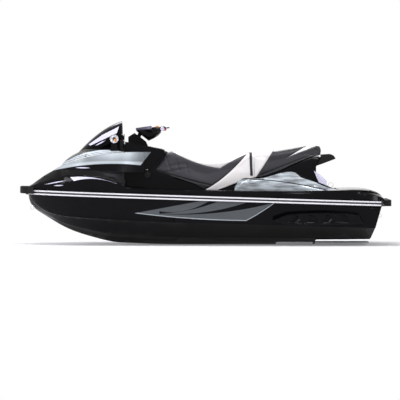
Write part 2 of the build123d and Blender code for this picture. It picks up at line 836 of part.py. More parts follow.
# Console behind the hood, with the glovebox sunk in its top
with BuildPart() as console:
    with BuildSketch(Plane.XZ):
        Polygon(*CONSOLE_SIDE, align=None)
    extrude(amount=CONSOLE_HALF, both=True)
    with Locations(GLOVEBOX_TOP):
        Box(
            LID_FRONT_X - LID_REAR_X,
            2 * (LID_HALF - 10),
            GLOVEBOX_DEPTH,
            align=(Align.CENTER, Align.CENTER, Align.MAX),
            mode=Mode.SUBTRACT,
        )
        Box(
            LID_FRONT_X - LID_REAR_X + 2 * PANEL_GAP,
            2 * (LID_HALF + PANEL_GAP),
            LID_THICK + LID_REST,
            align=(Align.CENTER, Align.CENTER, Align.MAX),
            mode=Mode.SUBTRACT,
        )
    with BuildSketch(STEER_PLANE.offset(-STEM_DEPTH - PANEL_GAP)):
        Circle(STEM_RADIUS + PANEL_GAP)
    extrude(amount=200, mode=Mode.SUBTRACT)
    with Locations(GLOVEBOX_TOP):
        with Locations(((LID_FRONT_X - LID_REAR_X) / 2, 0, -LID_THICK / 2)):
            Box(
                4 * LID_PIN_RADIUS + 2 * PANEL_GAP,
                2 * (LID_HALF + PANEL_GAP),
                4 * LID_PIN_RADIUS + 2 * PANEL_GAP,
                mode=Mode.SUBTRACT,
            )
            Cylinder(LID_PIN_RADIUS, 2 * (LID_HALF + PANEL_GAP), rotation=(90, 0, 0))
    for sign in (1, -1):
        with BuildSketch(Plane.XZ.offset(-sign * SEAT_KNUCKLE_HALF - sign * PANEL_GAP)):
            Polygon(*SEAT_EAR, align=None)
            with Locations((SEAT_HINGE_X, SEAT_HINGE_Z)):
                Circle(SEAT_KNUCKLE_RADIUS)
        extrude(amount=-sign * SEAT_EAR_THICK)
    with BuildSketch(Plane.XZ):
        with Locations((SEAT_HINGE_X, SEAT_HINGE_Z)):
            Circle(SEAT_PIN_RADIUS)
    extrude(amount=SEAT_KNUCKLE_HALF + PANEL_GAP, both=True)
    add(nacelle.part, mode=Mode.SUBTRACT)
    add(pedestal.part, mode=Mode.SUBTRACT)
console.part.label = "console"
export_step(console.part, "parts/console.step")

# Glovebox lid, hinged on a pin across its front edge
with BuildPart() as glovebox_lid:
    with Locations(GLOVEBOX_TOP):
        Box(
            LID_FRONT_X - LID_REAR_X,
            2 * LID_HALF,
            LID_THICK,
            align=(Align.CENTER, Align.CENTER, Align.MAX),
        )
        with Locations(((LID_FRONT_X - LID_REAR_X) / 2, 0, -LID_THICK / 2)):
            Cylinder(2 * LID_PIN_RADIUS, 2 * LID_HALF, rotation=(90, 0, 0))
            Cylinder(LID_PIN_RADIUS + RUNNING_FIT, 4 * LID_HALF, rotation=(90, 0, 0), mode=Mode.SUBTRACT)
glovebox_lid.part.label = "glovebox_lid"
export_step(glovebox_lid.part, "parts/glovebox_lid.step")

# Column cover: a fixed wedge with the bearing that the steering stem turns in
with BuildPart() as column_cover:
    with BuildSketch(Plane.XZ):
        Polygon(*COLUMN_SIDE, align=None)
    extrude(amount=COLUMN_HALF, both=True)
    add(console.part, mode=Mode.SUBTRACT)
    with BuildSketch(STEER_PLANE.offset(-STEM_DEPTH)):
        Circle(STEM_RADIUS + RUNNING_FIT)
    extrude(amount=300, mode=Mode.SUBTRACT)
column_cover.part.label = "column_cover"
export_step(column_cover.part, "parts/column_cover.step")

# Handlebar: stem, clamp and a bar that sweeps back to the grips
BAR_PATH = ((0, 0), (40, 100), (105, 200), (200, 385))
with BuildPart() as handlebar:
    with BuildSketch(STEER_PLANE.offset(-STEM_DEPTH)):
        Circle(STEM_RADIUS)
    extrude(amount=STEM_DEPTH + BAR_RISE)
    with BuildLine(BAR_PLANE) as bar_line:
        FilletPolyline(
            *[(-back, out) for back, out in reversed(BAR_PATH)],
            *[(-back, -out) for back, out in BAR_PATH[1:]],
            radius=BAR_BEND,
        )
    with BuildSketch(Plane(origin=bar_line.line @ 0, z_dir=bar_line.line % 0)):
        Circle(BAR_RADIUS)
    sweep(path=bar_line.line)
handlebar.part.label = "handlebar"
export_step(handlebar.part, "parts/handlebar.step")

BAR_ENDS = (
    (bar_line.line @ 0, bar_line.line % 0, "left"),
    (bar_line.line @ 1, bar_line.line % 1 * -1, "right"),
)
for end, inward, side in BAR_ENDS:
    with BuildPart() as grip:
        with BuildSketch(Plane(origin=end - inward * 6, z_dir=inward)):
            Circle(GRIP_RADIUS)
        extrude(amount=GRIP_LENGTH)
        with BuildSketch(Plane(origin=end, z_dir=inward)):
            Circle(BAR_RADIUS + SEAT_FIT)
        extrude(amount=GRIP_LENGTH, mode=Mode.SUBTRACT)
    grip.part.label = f"grip_{side}"
    export_step(grip.part, f"parts/grip_{side}.step")

    with BuildPart() as switch_box:
        with BuildSketch(Plane(origin=end + inward * (GRIP_LENGTH - 2), z_dir=inward, x_dir=(0, 0, 1))):
            Rectangle(2 * SWITCH_HALF, 2 * SWITCH_HALF + 8)
            Circle(BAR_RADIUS + SEAT_FIT, mode=Mode.SUBTRACT)
        extrude(amount=SWITCH_LENGTH)
    switch_box.part.label = f"switch_box_{side}"
    export_step(switch_box.part, f"parts/switch_box_{side}.step")

    with BuildPart() as lever:
        with BuildSketch(Plane(origin=end, x_dir=inward, z_dir=BAR_PLANE.z_dir)):
            Polygon(*[(run, reach * LEVER_TURN[side]) for run, reach in LEVER_EDGE], align=None)
        extrude(amount=LEVER_THICK / 2, both=True)
    lever.part.label = f"lever_{side}"
    export_step(lever.part, f"parts/lever_{side}.step")

with BuildPart() as bar_pad:
    with BuildSketch(BAR_PLANE.offset(BAR_RADIUS + SEAT_FIT)):
        Polygon(*[(dx - back, out) for back, out, dx in PAD_EDGE], align=None)
        mirror(about=Plane.XZ)
    extrude(amount=PAD_THICK)
bar_pad.part.label = "bar_pad"
export_step(bar_pad.part, "parts/bar_pad.step")

# Seat: two cushions over one saddle-shaped hollow, so that they straddle the pedestal's core
with BuildPart() as core_space:
    with BuildSketch(Plane.XZ):
        Polygon(
            (WELL_FRONT_X, SEAT_FLOOR[0][1]),
            *SEAT_FLOOR,
            (WELL_REAR_X, SEAT_FLOOR[-1][1]),
            (WELL_REAR_X, WELL_FLOOR_Z),
            (WELL_FRONT_X, WELL_FLOOR_Z),
            align=None,
        )
    extrude(amount=CORE_HALF + PANEL_GAP, both=True)
for name, outline, count, round_above in (
    ("front_seat", SEAT_TOP + SEAT_HEM, len(SEAT_TOP) - 1, SEAT_ROUND_ABOVE),
    ("rear_seat", REAR_SEAT_TOP + REAR_SEAT_HEM, len(REAR_SEAT_TOP) - 1, REAR_SEAT_ROUND_ABOVE),
):
    with BuildPart() as cushion:
        with BuildSketch(Plane.XZ) as seat_side:
            Polygon(*outline, align=None)
            bends = [v for v in seat_side.vertices() if (round(v.X), round(v.Y)) in outline[1:count]]
            fillet(bends, SEAT_BEND)
        extrude(amount=SEAT_HALF, both=True)
        sides = cushion.edges().filter_by(lambda e: abs(abs(e.center().Y) - SEAT_HALF) < 1)
        fillet(sides.filter_by(lambda e: e.center().Z > round_above), SEAT_ROUND)
        add(core_space.part, mode=Mode.SUBTRACT)
        if name == "front_seat":
            with BuildSketch(Plane.XZ):
                with Locations((SEAT_HINGE_X, SEAT_HINGE_Z)):
                    Circle(SEAT_KNUCKLE_RADIUS)
                Polygon(
                    (SEAT_HINGE_X, SEAT_HINGE_Z - SEAT_KNUCKLE_RADIUS),
                    (SEAT_HINGE_X - 15, SEAT_HINGE_Z - SEAT_KNUCKLE_RADIUS),
                    (SEAT_HINGE_X - 15, SEAT_HINGE_Z),
                    (SEAT_HINGE_X, SEAT_HINGE_Z),
                    align=None,
                )
            extrude(amount=SEAT_KNUCKLE_HALF, both=True)
            with BuildSketch(Plane.XZ):
                with Locations((SEAT_HINGE_X, SEAT_HINGE_Z)):
                    Circle(SEAT_PIN_RADIUS + RUNNING_FIT)
            extrude(amount=SEAT_KNUCKLE_HALF, both=True, mode=Mode.SUBTRACT)
            for sign in (1, -1):
                ear_y = sign * (SEAT_KNUCKLE_HALF + PANEL_GAP + SEAT_EAR_THICK / 2)
                with Locations((SEAT_HINGE_X, ear_y, SEAT_HINGE_Z)):
                    Cylinder(
                        SEAT_KNUCKLE_RADIUS + PANEL_GAP,
                        SEAT_EAR_THICK + 2 * PANEL_GAP,
                        rotation=(90, 0, 0),
                        mode=Mode.SUBTRACT,
                    )
    cushion.part.label = name
    export_step(cushion.part, f"parts/{name}.step")

# Engine block in the bay, and the stern tube that carries the shaft through the hull
with BuildPart() as engine:
    with Locations((ENGINE_REAR_X + ENGINE_LENGTH / 2, 0, BAY_FLOOR_Z)):
        Box(ENGINE_LENGTH, ENGINE_WIDTH, ENGINE_HEIGHT, align=(Align.CENTER, Align.CENTER, Align.MIN))
engine.part.label = "engine"
export_step(engine.part, "parts/engine.step")

with BuildPart() as stern_tube:
    with BuildSketch(across(TUBE_REAR_X)):
        with Locations((0, PUMP_Z)):
            Circle(TUBE_RADIUS)
            Circle(SHAFT_RADIUS + RUNNING_FIT, mode=Mode.SUBTRACT)
    extrude(amount=BAY_REAR_X - TUBE_REAR_X)
stern_tube.part.label = "stern_tube"
export_step(stern_tube.part, "parts/stern_tube.step")

# Jet pump housing: flange, barrel, stator with its hub and vanes, and the venturi
with BuildPart() as pump_housing:
    with BuildSketch(Plane.XZ):
        Polygon(
            (BULKHEAD_X, PUMP_Z + BARREL_RADIUS),
            (BULKHEAD_X, PUMP_Z + FLANGE_RADIUS),
            (BULKHEAD_X - FLANGE_THICK, PUMP_Z + FLANGE_RADIUS),
            (BULKHEAD_X - FLANGE_THICK, PUMP_Z + BARREL_RADIUS + BARREL_WALL),
            (BARREL_END_X, PUMP_Z + BARREL_RADIUS + BARREL_WALL),
            (VENTURI_END_X, PUMP_Z + VENTURI_RADIUS + VENTURI_WALL),
            (VENTURI_END_X, PUMP_Z + VENTURI_RADIUS),
            (STATOR_REAR_X, PUMP_Z + BARREL_RADIUS),
            align=None,
        )
    revolve(axis=PUMP_AXIS)
    with BuildSketch(Plane.XZ):
        Polygon(
            (STATOR_FRONT_X, PUMP_Z),
            (STATOR_FRONT_X, PUMP_Z + HUB_RADIUS),
            (STATOR_REAR_X, PUMP_Z + HUB_RADIUS - 4),
            (STATOR_TIP_X, PUMP_Z + 6),
            (STATOR_TIP_X, PUMP_Z),
            align=None,
        )
    revolve(axis=PUMP_AXIS)
    with BuildSketch(Plane(origin=(STATOR_FRONT_X, 0, PUMP_Z), x_dir=(0, 1, 0), z_dir=(-1, 0, 0))):
        with PolarLocations((HUB_RADIUS + BARREL_RADIUS) / 2, STATOR_VANES, start_angle=30):
            Rectangle(BARREL_RADIUS - HUB_RADIUS + 10, VANE_THICK)
    extrude(amount=STATOR_FRONT_X - STATOR_REAR_X - 12)
    with BuildSketch(across(STATOR_FRONT_X + 1)):
        with Locations((0, PUMP_Z)):
            Circle(SHAFT_RADIUS + RUNNING_FIT)
    extrude(amount=SHAFT_REAR_X - PANEL_GAP - STATOR_FRONT_X - 1, mode=Mode.SUBTRACT)
    for sign in (1, -1):
        with BuildSketch(Plane.XZ.offset(-sign * (VENTURI_RADIUS + VENTURI_WALL + 6))):
            with Locations((BUCKET_PIVOT_X, PUMP_Z)):
                Circle(BUCKET_PIN_RADIUS)
        extrude(amount=-sign * (BUCKET_HALF + 6 - VENTURI_RADIUS - VENTURI_WALL))
        with BuildSketch(Plane.XY.offset(PUMP_Z + sign * (VENTURI_RADIUS + VENTURI_WALL / 2))):
            with Locations((NOZZLE_PIVOT_X, 0)):
                Circle(NOZZLE_PIN_RADIUS)
        extrude(amount=sign * (NOZZLE_FRONT_RADIUS + NOZZLE_WALL + 2 - VENTURI_RADIUS - VENTURI_WALL / 2))
pump_housing.part.label = "pump_housing"
export_step(pump_housing.part, "parts/pump_housing.step")

# Steering nozzle on two upright pins
with BuildPart() as steering_nozzle:
    with BuildSketch(Plane.XZ):
        Polygon(
            (NOZZLE_FRONT_X, PUMP_Z + NOZZLE_FRONT_RADIUS),
            (NOZZLE_FRONT_X, PUMP_Z + NOZZLE_FRONT_RADIUS + NOZZLE_WALL),
            (NOZZLE_PIVOT_X - 20, PUMP_Z + NOZZLE_FRONT_RADIUS + NOZZLE_WALL),
            (NOZZLE_REAR_X, PUMP_Z + NOZZLE_REAR_RADIUS + NOZZLE_WALL),
            (NOZZLE_REAR_X, PUMP_Z + NOZZLE_REAR_RADIUS),
            (NOZZLE_PIVOT_X - 20, PUMP_Z + NOZZLE_FRONT_RADIUS),
            align=None,
        )
    revolve(axis=PUMP_AXIS)
    for sign in (1, -1):
        with BuildSketch(Plane.XY.offset(PUMP_Z + sign * (NOZZLE_FRONT_RADIUS + 1))):
            with Locations((NOZZLE_PIVOT_X, 0)):
                Circle(2 * NOZZLE_PIN_RADIUS)
        extrude(amount=sign * (NOZZLE_WALL + 3))
        with BuildSketch(Plane.XY.offset(PUMP_Z + sign * (NOZZLE_FRONT_RADIUS - 2))):
            with Locations((NOZZLE_PIVOT_X, 0)):
                Circle(NOZZLE_PIN_RADIUS + RUNNING_FIT)
        extrude(amount=sign * (NOZZLE_WALL + 6), mode=Mode.SUBTRACT)
steering_nozzle.part.label = "steering_nozzle"
export_step(steering_nozzle.part, "parts/steering_nozzle.step")

# Reverse bucket: a curved band between two cheeks that turn on the housing's side pins
with BuildPart() as reverse_bucket:
    with BuildSketch(Plane.XZ):
        with Locations((BUCKET_PIVOT_X, PUMP_Z)):
            Circle(BUCKET_RADIUS + BUCKET_WALL)
            Circle(BUCKET_RADIUS, mode=Mode.SUBTRACT)
        Polygon(*BUCKET_WEDGE, align=None, mode=Mode.INTERSECT)
    extrude(amount=BUCKET_HALF, both=True)
    for sign in (1, -1):
        with BuildSketch(Plane.XZ.offset(-sign * BUCKET_HALF)):
            with Locations((BUCKET_PIVOT_X, PUMP_Z)):
                Circle(BUCKET_RADIUS + BUCKET_WALL)
            Polygon(*BUCKET_WEDGE, align=None, mode=Mode.INTERSECT)
            with Locations((BUCKET_PIVOT_X, PUMP_Z)):
                Circle(2.2 * BUCKET_PIN_RADIUS)
                Circle(BUCKET_PIN_RADIUS + RUNNING_FIT, mode=Mode.SUBTRACT)
        extrude(amount=sign * BUCKET_WALL)
reverse_bucket.part.label = "reverse_bucket"
export_step(reverse_bucket.part, "parts/reverse_bucket.step")

# Impeller: a hub with twisted blades, fast on the drive shaft
with BuildPart() as impeller:
    with BuildSketch(Plane.XZ):
        Polygon(
            (IMPELLER_FRONT_X + 24, PUMP_Z + SHAFT_RADIUS + SEAT_FIT),
            (IMPELLER_FRONT_X + 24, PUMP_Z + 18),
            (IMPELLER_FRONT_X, PUMP_Z + HUB_RADIUS),
            (IMPELLER_REAR_X, PUMP_Z + HUB_RADIUS),
            (IMPELLER_REAR_X, PUMP_Z + SHAFT_RADIUS + SEAT_FIT),
            align=None,
        )
    revolve(axis=PUMP_AXIS)
    for i in range(IMPELLER_BLADES):
        turn = 360 * i / IMPELLER_BLADES
        out = Vector(0, cos(radians(turn)), sin(radians(turn)))
        for radius, pitch, chord in BLADE_SECTIONS:
            centre = Vector((IMPELLER_FRONT_X + IMPELLER_REAR_X) / 2, 0, PUMP_Z) + out * radius
            along = Vector(1, 0, 0).rotate(Axis((0, 0, 0), tuple(out)), pitch)
            with BuildSketch(Plane(origin=centre, x_dir=along, z_dir=out)):
                Rectangle(chord, BLADE_THICK)
        loft()
    with BuildSketch(across(IMPELLER_REAR_X - 40)):
        with Locations((0, PUMP_Z)):
            Circle(BARREL_RADIUS - IMPELLER_TIP_GAP)
            Circle(SHAFT_RADIUS + SEAT_FIT, mode=Mode.SUBTRACT)
    extrude(amount=IMPELLER_FRONT_X - IMPELLER_REAR_X + 80, mode=Mode.INTERSECT)
impeller.part.label = "impeller"
export_step(impeller.part, "parts/impeller.step")

with BuildPart() as drive_shaft:
    with BuildSketch(across(SHAFT_REAR_X)):
        with Locations((0, PUMP_Z)):
            Circle(SHAFT_RADIUS)
    extrude(amount=SHAFT_FRONT_X - SHAFT_REAR_X)
    with BuildSketch(across(SHAFT_FRONT_X - COUPLING_THICK)):
        with Locations((0, PUMP_Z)):
            Circle(COUPLING_RADIUS)
    extrude(amount=COUPLING_THICK)
drive_shaft.part.label = "drive_shaft"
export_step(drive_shaft.part, "parts/drive_shaft.step")

# Ride plate under the pump, and the grate over the intake
with BuildPart() as ride_plate:
    with Locations(((BULKHEAD_X + RIDE_PLATE_REAR_X) / 2, 0, RIDE_PLATE_Z)):
        Box(
            BULKHEAD_X - RIDE_PLATE_REAR_X,
            2 * TUNNEL_HALF,
            RIDE_PLATE_THICK,
            align=(Align.CENTER, Align.CENTER, Align.MIN),
        )
ride_plate.part.label = "ride_plate"
export_step(ride_plate.part, "parts/ride_plate.step")

with BuildPart() as intake_grate:
    for i in range(GRATE_BARS):
        bar_y = (i - (GRATE_BARS - 1) / 2) * 2 * DUCT_HALF / (GRATE_BARS + 1)
        with Locations(((DUCT_FRONT_X + DUCT_REAR_X) / 2, bar_y, RIDE_PLATE_Z)):
            Box(
                DUCT_FRONT_X - DUCT_REAR_X,
                GRATE_BAR,
                GRATE_BAR,
                align=(Align.CENTER, Align.CENTER, Align.MIN),
            )
    for end_x in (DUCT_FRONT_X - GRATE_BAR, DUCT_REAR_X + GRATE_BAR):
        with Locations((end_x, 0, RIDE_PLATE_Z)):
            Box(
                2 * GRATE_BAR,
                2 * DUCT_HALF,
                GRATE_BAR,
                align=(Align.CENTER, Align.CENTER, Align.MIN),
            )
    add(hull.part, mode=Mode.SUBTRACT)
    add(pump_intake.part, mode=Mode.SUBTRACT)
intake_grate.part.label = "intake_grate"
export_step(intake_grate.part, "parts/intake_grate.step")

# Sponsons along the chines, cut to the hull's side
for side, sign in SIDES:
    with BuildPart() as sponson:
        with BuildSketch(Plane.XZ.offset(-sign * SPONSON_INNER_Y)):
            Polygon(*SPONSON_SIDE, align=None)
        extrude(amount=-sign * (SPONSON_OUTER_Y - SPONSON_INNER_Y))
        outer = sponson.faces().sort_by(Axis.Y)[-1 if sign > 0 else 0]
        chamfer(outer.edges(), SPONSON_CHAMFER)
        with BuildSketch(Plane.XZ.offset(-sign * SPONSON_OUTER_Y)) as pockets:
            for i in range(POCKETS):
                with Locations((POCKET_FRONT_X - i * POCKET_PITCH, 0)):
                    Polygon(*POCKET_EDGE, align=None)
            fillet(pockets.vertices(), POCKET_ROUND)
        extrude(amount=sign * POCKET_DEPTH, mode=Mode.SUBTRACT)
        add(hull.part, mode=Mode.SUBTRACT)
    sponson.part.label = f"sponson_{side}"
    export_step(sponson.part, f"parts/sponson_{side}.step")

# Silver quarter panels that flare from the pedestal's sides to the stern deck
for side, sign in SIDES:
    with BuildPart() as quarter_panel:
        for x, outer_y, line_z, top_y, top_z in QUARTER_SECTIONS:
            with BuildSketch(across(x)):
                Polygon(
                    (sign * (PEDESTAL_HALF - 4), WELL_FLOOR_Z),
                    (sign * outer_y, WELL_FLOOR_Z),
                    (sign * (outer_y + 6), line_z - 12),
                    (sign * (outer_y - 8), line_z),
                    (sign * top_y, top_z),
                    (sign * (PEDESTAL_HALF - 4), top_z + 4),
                    align=None,
                )
        loft()
        add(pedestal.part, mode=Mode.SUBTRACT)
        add(deck.part, mode=Mode.SUBTRACT)
    quarter_panel.part.label = f"quarter_panel_{side}"
    export_step(quarter_panel.part, f"parts/quarter_panel_{side}.step")

    with BuildPart() as footwell_mat:
        with BuildSketch(Plane.XY.offset(WELL_FLOOR_Z)):
            Polygon(
                (WELL_FRONT_X - MAT_MARGIN, sign * (PEDESTAL_HALF + MAT_MARGIN)),
                (WELL_FRONT_X - MAT_MARGIN, sign * (WELL_FRONT_Y - MAT_MARGIN)),
                (WELL_KNEE_X, sign * (WELL_KNEE_Y - MAT_MARGIN)),
                (WELL_REAR_X + MAT_MARGIN, sign * (WELL_REAR_Y - MAT_MARGIN)),
                (WELL_REAR_X + MAT_MARGIN, sign * (QUARTER_SECTIONS[-1][1] + MAT_MARGIN)),
                (QUARTER_SECTIONS[1][0], sign * (QUARTER_SECTIONS[1][1] + MAT_MARGIN)),
                (QUARTER_SECTIONS[0][0], sign * (PEDESTAL_HALF + MAT_MARGIN)),
                align=None,
            )
        extrude(amount=MAT_THICK)
    footwell_mat.part.label = f"footwell_mat_{side}"
    export_step(footwell_mat.part, f"parts/footwell_mat_{side}.step")

    with BuildPart() as side_cap:
        with BuildSketch(Plane.XZ.offset(-sign * PEDESTAL_HALF)):
            with Locations((CAP_X, CAP_Z)):
                Circle(CAP_RADIUS)
        extrude(amount=-sign * CAP_DEPTH)
        chamfer(side_cap.edges().sort_by(Axis.Y)[-1 if sign > 0 else 0], 3)
    side_cap.part.label = f"side_cap_{side}"
    export_step(side_cap.part, f"parts/side_cap_{side}.step")

# Grab handle behind the seat: a loop with a gap for the fingers
with BuildPart() as grab_handle:
    with BuildSketch(Plane.XZ):
        Polygon(*HANDLE_SIDE, align=None)
    extrude(amount=HANDLE_HALF, both=True)
    with BuildSketch(Plane.XY):
        with Locations(((HANDLE_GAP_FRONT_X + HANDLE_GAP_REAR_X) / 2, 0)):
            Rectangle(HANDLE_GAP_FRONT_X - HANDLE_GAP_REAR_X, 2 * HANDLE_GAP_HALF)
    extrude(amount=700, mode=Mode.SUBTRACT)
    fillet(grab_handle.edges().filter_by(Axis.Z, reverse=True).filter_by(Axis.Y).group_by(Axis.X)[0], 6)
    add(pedestal.part, mode=Mode.SUBTRACT)
grab_handle.part.label = "grab_handle"
export_step(grab_handle.part, "parts/grab_handle.step")

# Bow eye, stern eyes and the tow ring: round-wire eyes on small feet
EYES = (
    ("bow_eye", BOW_EYE_X, 0, BOW_EYE_Z, BOW_EYE_TILT, BOW_EYE_RADIUS),
    ("stern_eye_left", STERN_EYE_X, STERN_EYE_Y, STERN_EYE_Z, STERN_EYE_TILT, STERN_EYE_RADIUS),
    ("stern_eye_right", STERN_EYE_X, -STERN_EYE_Y, STERN_EYE_Z, STERN_EYE_TILT, STERN_EYE_RADIUS),
    ("tow_ring", TOW_RING_X, 0, TOW_RING_Z, TOW_RING_TILT, TOW_RING_RADIUS),
)
for name, eye_x, eye_y, eye_z, tilt, eye_radius in EYES:
    out_x = -sin(radians(tilt))
    out_z = cos(radians(tilt))
    foot = Plane(origin=(eye_x, eye_y, eye_z), x_dir=(out_z, 0, -out_x), z_dir=(out_x, 0, out_z))
    with BuildPart() as eye:
        with BuildSketch(foot):
            Rectangle(3.4 * eye_radius, 1.6 * eye_radius)
        extrude(amount=EYE_FOOT)
        with BuildSketch(Plane(origin=foot.origin, x_dir=(out_z, 0, -out_x), z_dir=(0, 1, 0))):
            with Locations((0, -EYE_FOOT - eye_radius)):
                Circle(eye_radius + EYE_WIRE)
                Circle(eye_radius, mode=Mode.SUBTRACT)
        extrude(amount=EYE_WIRE / 2, both=True)
        add(hull.part, mode=Mode.SUBTRACT)
        add(pedestal.part, mode=Mode.SUBTRACT)
    eye.part.label = name
    export_step(eye.part, f"parts/{name}.step")
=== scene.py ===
import json
import math

import bmesh
import bpy
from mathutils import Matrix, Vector


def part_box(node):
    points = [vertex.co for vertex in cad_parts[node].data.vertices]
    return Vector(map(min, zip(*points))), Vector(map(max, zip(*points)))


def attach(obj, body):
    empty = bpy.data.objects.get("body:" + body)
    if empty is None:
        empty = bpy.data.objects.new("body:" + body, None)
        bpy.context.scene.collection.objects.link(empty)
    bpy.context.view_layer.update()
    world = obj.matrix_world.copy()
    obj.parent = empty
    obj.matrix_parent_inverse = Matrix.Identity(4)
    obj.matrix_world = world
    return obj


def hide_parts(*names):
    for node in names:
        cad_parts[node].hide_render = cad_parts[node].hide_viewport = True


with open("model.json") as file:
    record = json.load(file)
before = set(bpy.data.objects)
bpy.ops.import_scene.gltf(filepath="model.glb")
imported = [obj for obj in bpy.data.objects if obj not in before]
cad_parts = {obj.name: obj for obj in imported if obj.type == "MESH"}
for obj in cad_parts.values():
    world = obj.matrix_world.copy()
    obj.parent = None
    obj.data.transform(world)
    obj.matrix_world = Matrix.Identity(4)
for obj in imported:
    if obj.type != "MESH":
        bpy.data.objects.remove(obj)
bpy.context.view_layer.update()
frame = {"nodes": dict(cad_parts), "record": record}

bl_info = {
    "name": "Personal Watercraft",
    "version": (1, 0, 0),
    "blender": (4, 5, 0),
    "location": "View3D > Sidebar > Watercraft",
    "description": "Finishes and fittings of a three-seat personal watercraft",
    "category": "Object",
}

NODES = frame["nodes"]
BODIES = {node: body for body, nodes in frame["record"]["behaviour"]["bodies"].items() for node in nodes}
SIDES = (("left", 1), ("right", -1))

# The sheer line that the rub rail follows: its height at the middle and its rise towards the bow
SHEER_Z = 0.158
SHEER_SLOPE = 0.0306
STRIPE_MIDDLE = 0.01
STRIPE_REACH = 1.52

# Outlines on the side of the boat, as x and z in metres: where each paint or cover changes, and where painted
# highlights and reflections lie
HULL_BLADE_TIP = (0.600, 0.029)
HULL_BLADE_LOW = (HULL_BLADE_TIP, (0.126, -0.017), (-0.309, -0.035))
HULL_BLADE_HOOK = ((-0.370, -0.028), (-0.509, 0.055), (-0.579, 0.103))
HULL_HOOK_X = -0.36
HULL_RIM = 0.007  # width of the bright rim along the foot of the blades
CHINE_DEPTH = 0.03  # the hull is duller below this depth under the waterline
HULL_BLADE_TOP = (HULL_BLADE_TIP, (0.187, 0.107))
HULL_GAPS = (
    (((0.387, 0.029), (0.126, 0.059), (-0.048, 0.107)), ((0.344, 0.042), (0.126, 0.0635), (0.013, 0.107))),
    (((0.387, 0.0245), (-0.048, 0.0287), (-0.500, 0.098)), ((0.387, 0.029), (0.0, 0.040), (-0.309, 0.107))),
)
# The top edge of the hood's silver band, which is also painted brighter as a painted highlight
HOOD_BAND_TOP = ((1.283, 0.420), (0.996, 0.553), (0.735, 0.559))
HOOD_LINE = ((1.127, 0.491), (0.900, 0.543), (0.735, 0.556))
SIDE_PANEL_FOOT = ((1.300, 0.394), (0.950, 0.446), (0.552, 0.438))
SIDE_PANEL_TOP = 0.552
SIDE_PANEL_REAR = ((0.463, 0.551), (0.552, 0.438))
SHIELD_INSET = [(0.7395, 0.7726), (0.757, 0.716), (0.987, 0.607), (1.005, 0.616), (0.885, 0.699)]
# A painted highlight: a thin pale stripe under the windshield's silver inset
SHIELD_HIGHLIGHT_STRIPE = ((0.944, 0.607), (0.857, 0.651))
QUARTER_FOOT = ((-1.222, 0.181), (-0.213, 0.224))
QUARTER_LINE = ((-0.413, 0.320), (-0.744, 0.285), (-1.092, 0.2158))
QUARTER_PATCH = [(-0.770, 0.385), (-0.9266, 0.390), (-0.961, 0.368), (-0.979, 0.285), (-0.831, 0.333)]
REAR_FACE = [(-0.944, 0.390), (-1.005, 0.351), (-1.057, 0.290), (-1.083, 0.251), (-0.987, 0.290)]
# A painted highlight along the foredeck's shoulder crease: its top, its foot and its front edge
DECK_HIGHLIGHT_CRESCENT = (
    ((1.157, 0.336), (1.000, 0.338), (0.7525, 0.2836)),
    ((1.123, 0.3036), (0.980, 0.3245), (0.7525, 0.2830)),
    ((1.123, 0.3036), (1.157, 0.3376)),
)
# Painted reflections: thin pale dashes on the foredeck near the bow
DECK_REFLECTION_DASHES = (((1.379, 0.272), (1.196, 0.307)), ((1.300, 0.262), (1.215, 0.266)))
# A painted highlight: a pale dash on the black below the nose's silver panel
SIDE_HIGHLIGHT_DASH = ((1.109, 0.418), (0.987, 0.4159))
SEAT_CROWN_FRONT = ((0.248, 0.538), (0.126, 0.479), (-0.135, 0.411))
SEAT_CROWN_REAR = ((-0.135, 0.411), (-0.222, 0.464), (-0.370, 0.535))
SEAT_WEDGE = ((0.0, 0.224), (-0.196, 0.359), (-0.361, 0.529))
SEAT_ROLL = ((0.457, 0.4115), (0.1436, 0.3115), (-0.065, 0.262))
SEAT_CREASES = (
    ((0.330, 0.500), (0.300, 0.405)),
    ((0.243, 0.490), (0.222, 0.395)),
    ((0.160, 0.455), (0.143, 0.375)),
)
REAR_SEAT_FRONT = ((-0.583, 0.546), (-0.444, 0.329))
REAR_SEAT_LOW = ((-0.718, 0.507), (-0.983, 0.610))
REAR_SEAT_HIGH = ((-0.718, 0.507), (-0.857, 0.590))
BAR_SHROUD = (  # x, foot, top, half width
    (0.378, 0.718, 0.738, 0.085),
    (0.400, 0.692, 0.740, 0.110),
    (0.440, 0.667, 0.741, 0.130),
    (0.486, 0.647, 0.741, 0.135),
    (0.540, 0.689, 0.742, 0.125),
    (0.588, 0.728, 0.745, 0.100),
)
SEAT_CHEEK = (
    (0.350, 0.549),
    (0.318, 0.546),
    (0.428, 0.398),
    (0.300, 0.356),
    (0.250, 0.330),
    (0.300, 0.290),
    (0.480, 0.320),
    (0.490, 0.405),
)
CHEEK_INNER, CHEEK_OUTER = 0.2182, 0.2256
SEAL_FOOT, SEAL_TOP, SEAL_SIDE = 0.42, 0.618, 0.012
DIAL_SIDE, DIAL_MARKS, DIAL_RADIUS = 0.043, 0.022, 0.027
SCREW_SIDES = (-0.34, -0.12, 0.12, 0.34)
PAD_LINE = ((0.592, 0.742), (0.459, 0.752))
COLUMN_LINE = ((0.483, 0.633), (0.596, 0.722))


def parabola(first, middle, last):
    """The three coefficients, highest power first, of z along x through three points."""
    (x0, z0), (x1, z1), (x2, z2) = first, middle, last
    slope = (z1 - z0) / (x1 - x0)
    bend = ((z2 - z1) / (x2 - x1) - slope) / (x2 - x0)
    return bend, slope - bend * (x0 + x1), z0 - slope * x0 + bend * x0 * x1


# Shader helpers


def binary(operation, swapped=False):
    """A method of Value that adds a Math node; swapped for the reflected form of an operator."""

    def run(self, other=0.0):
        first, second = (other, self) if swapped else (self, other)
        return self.graph.maths(operation, first, second)

    return run


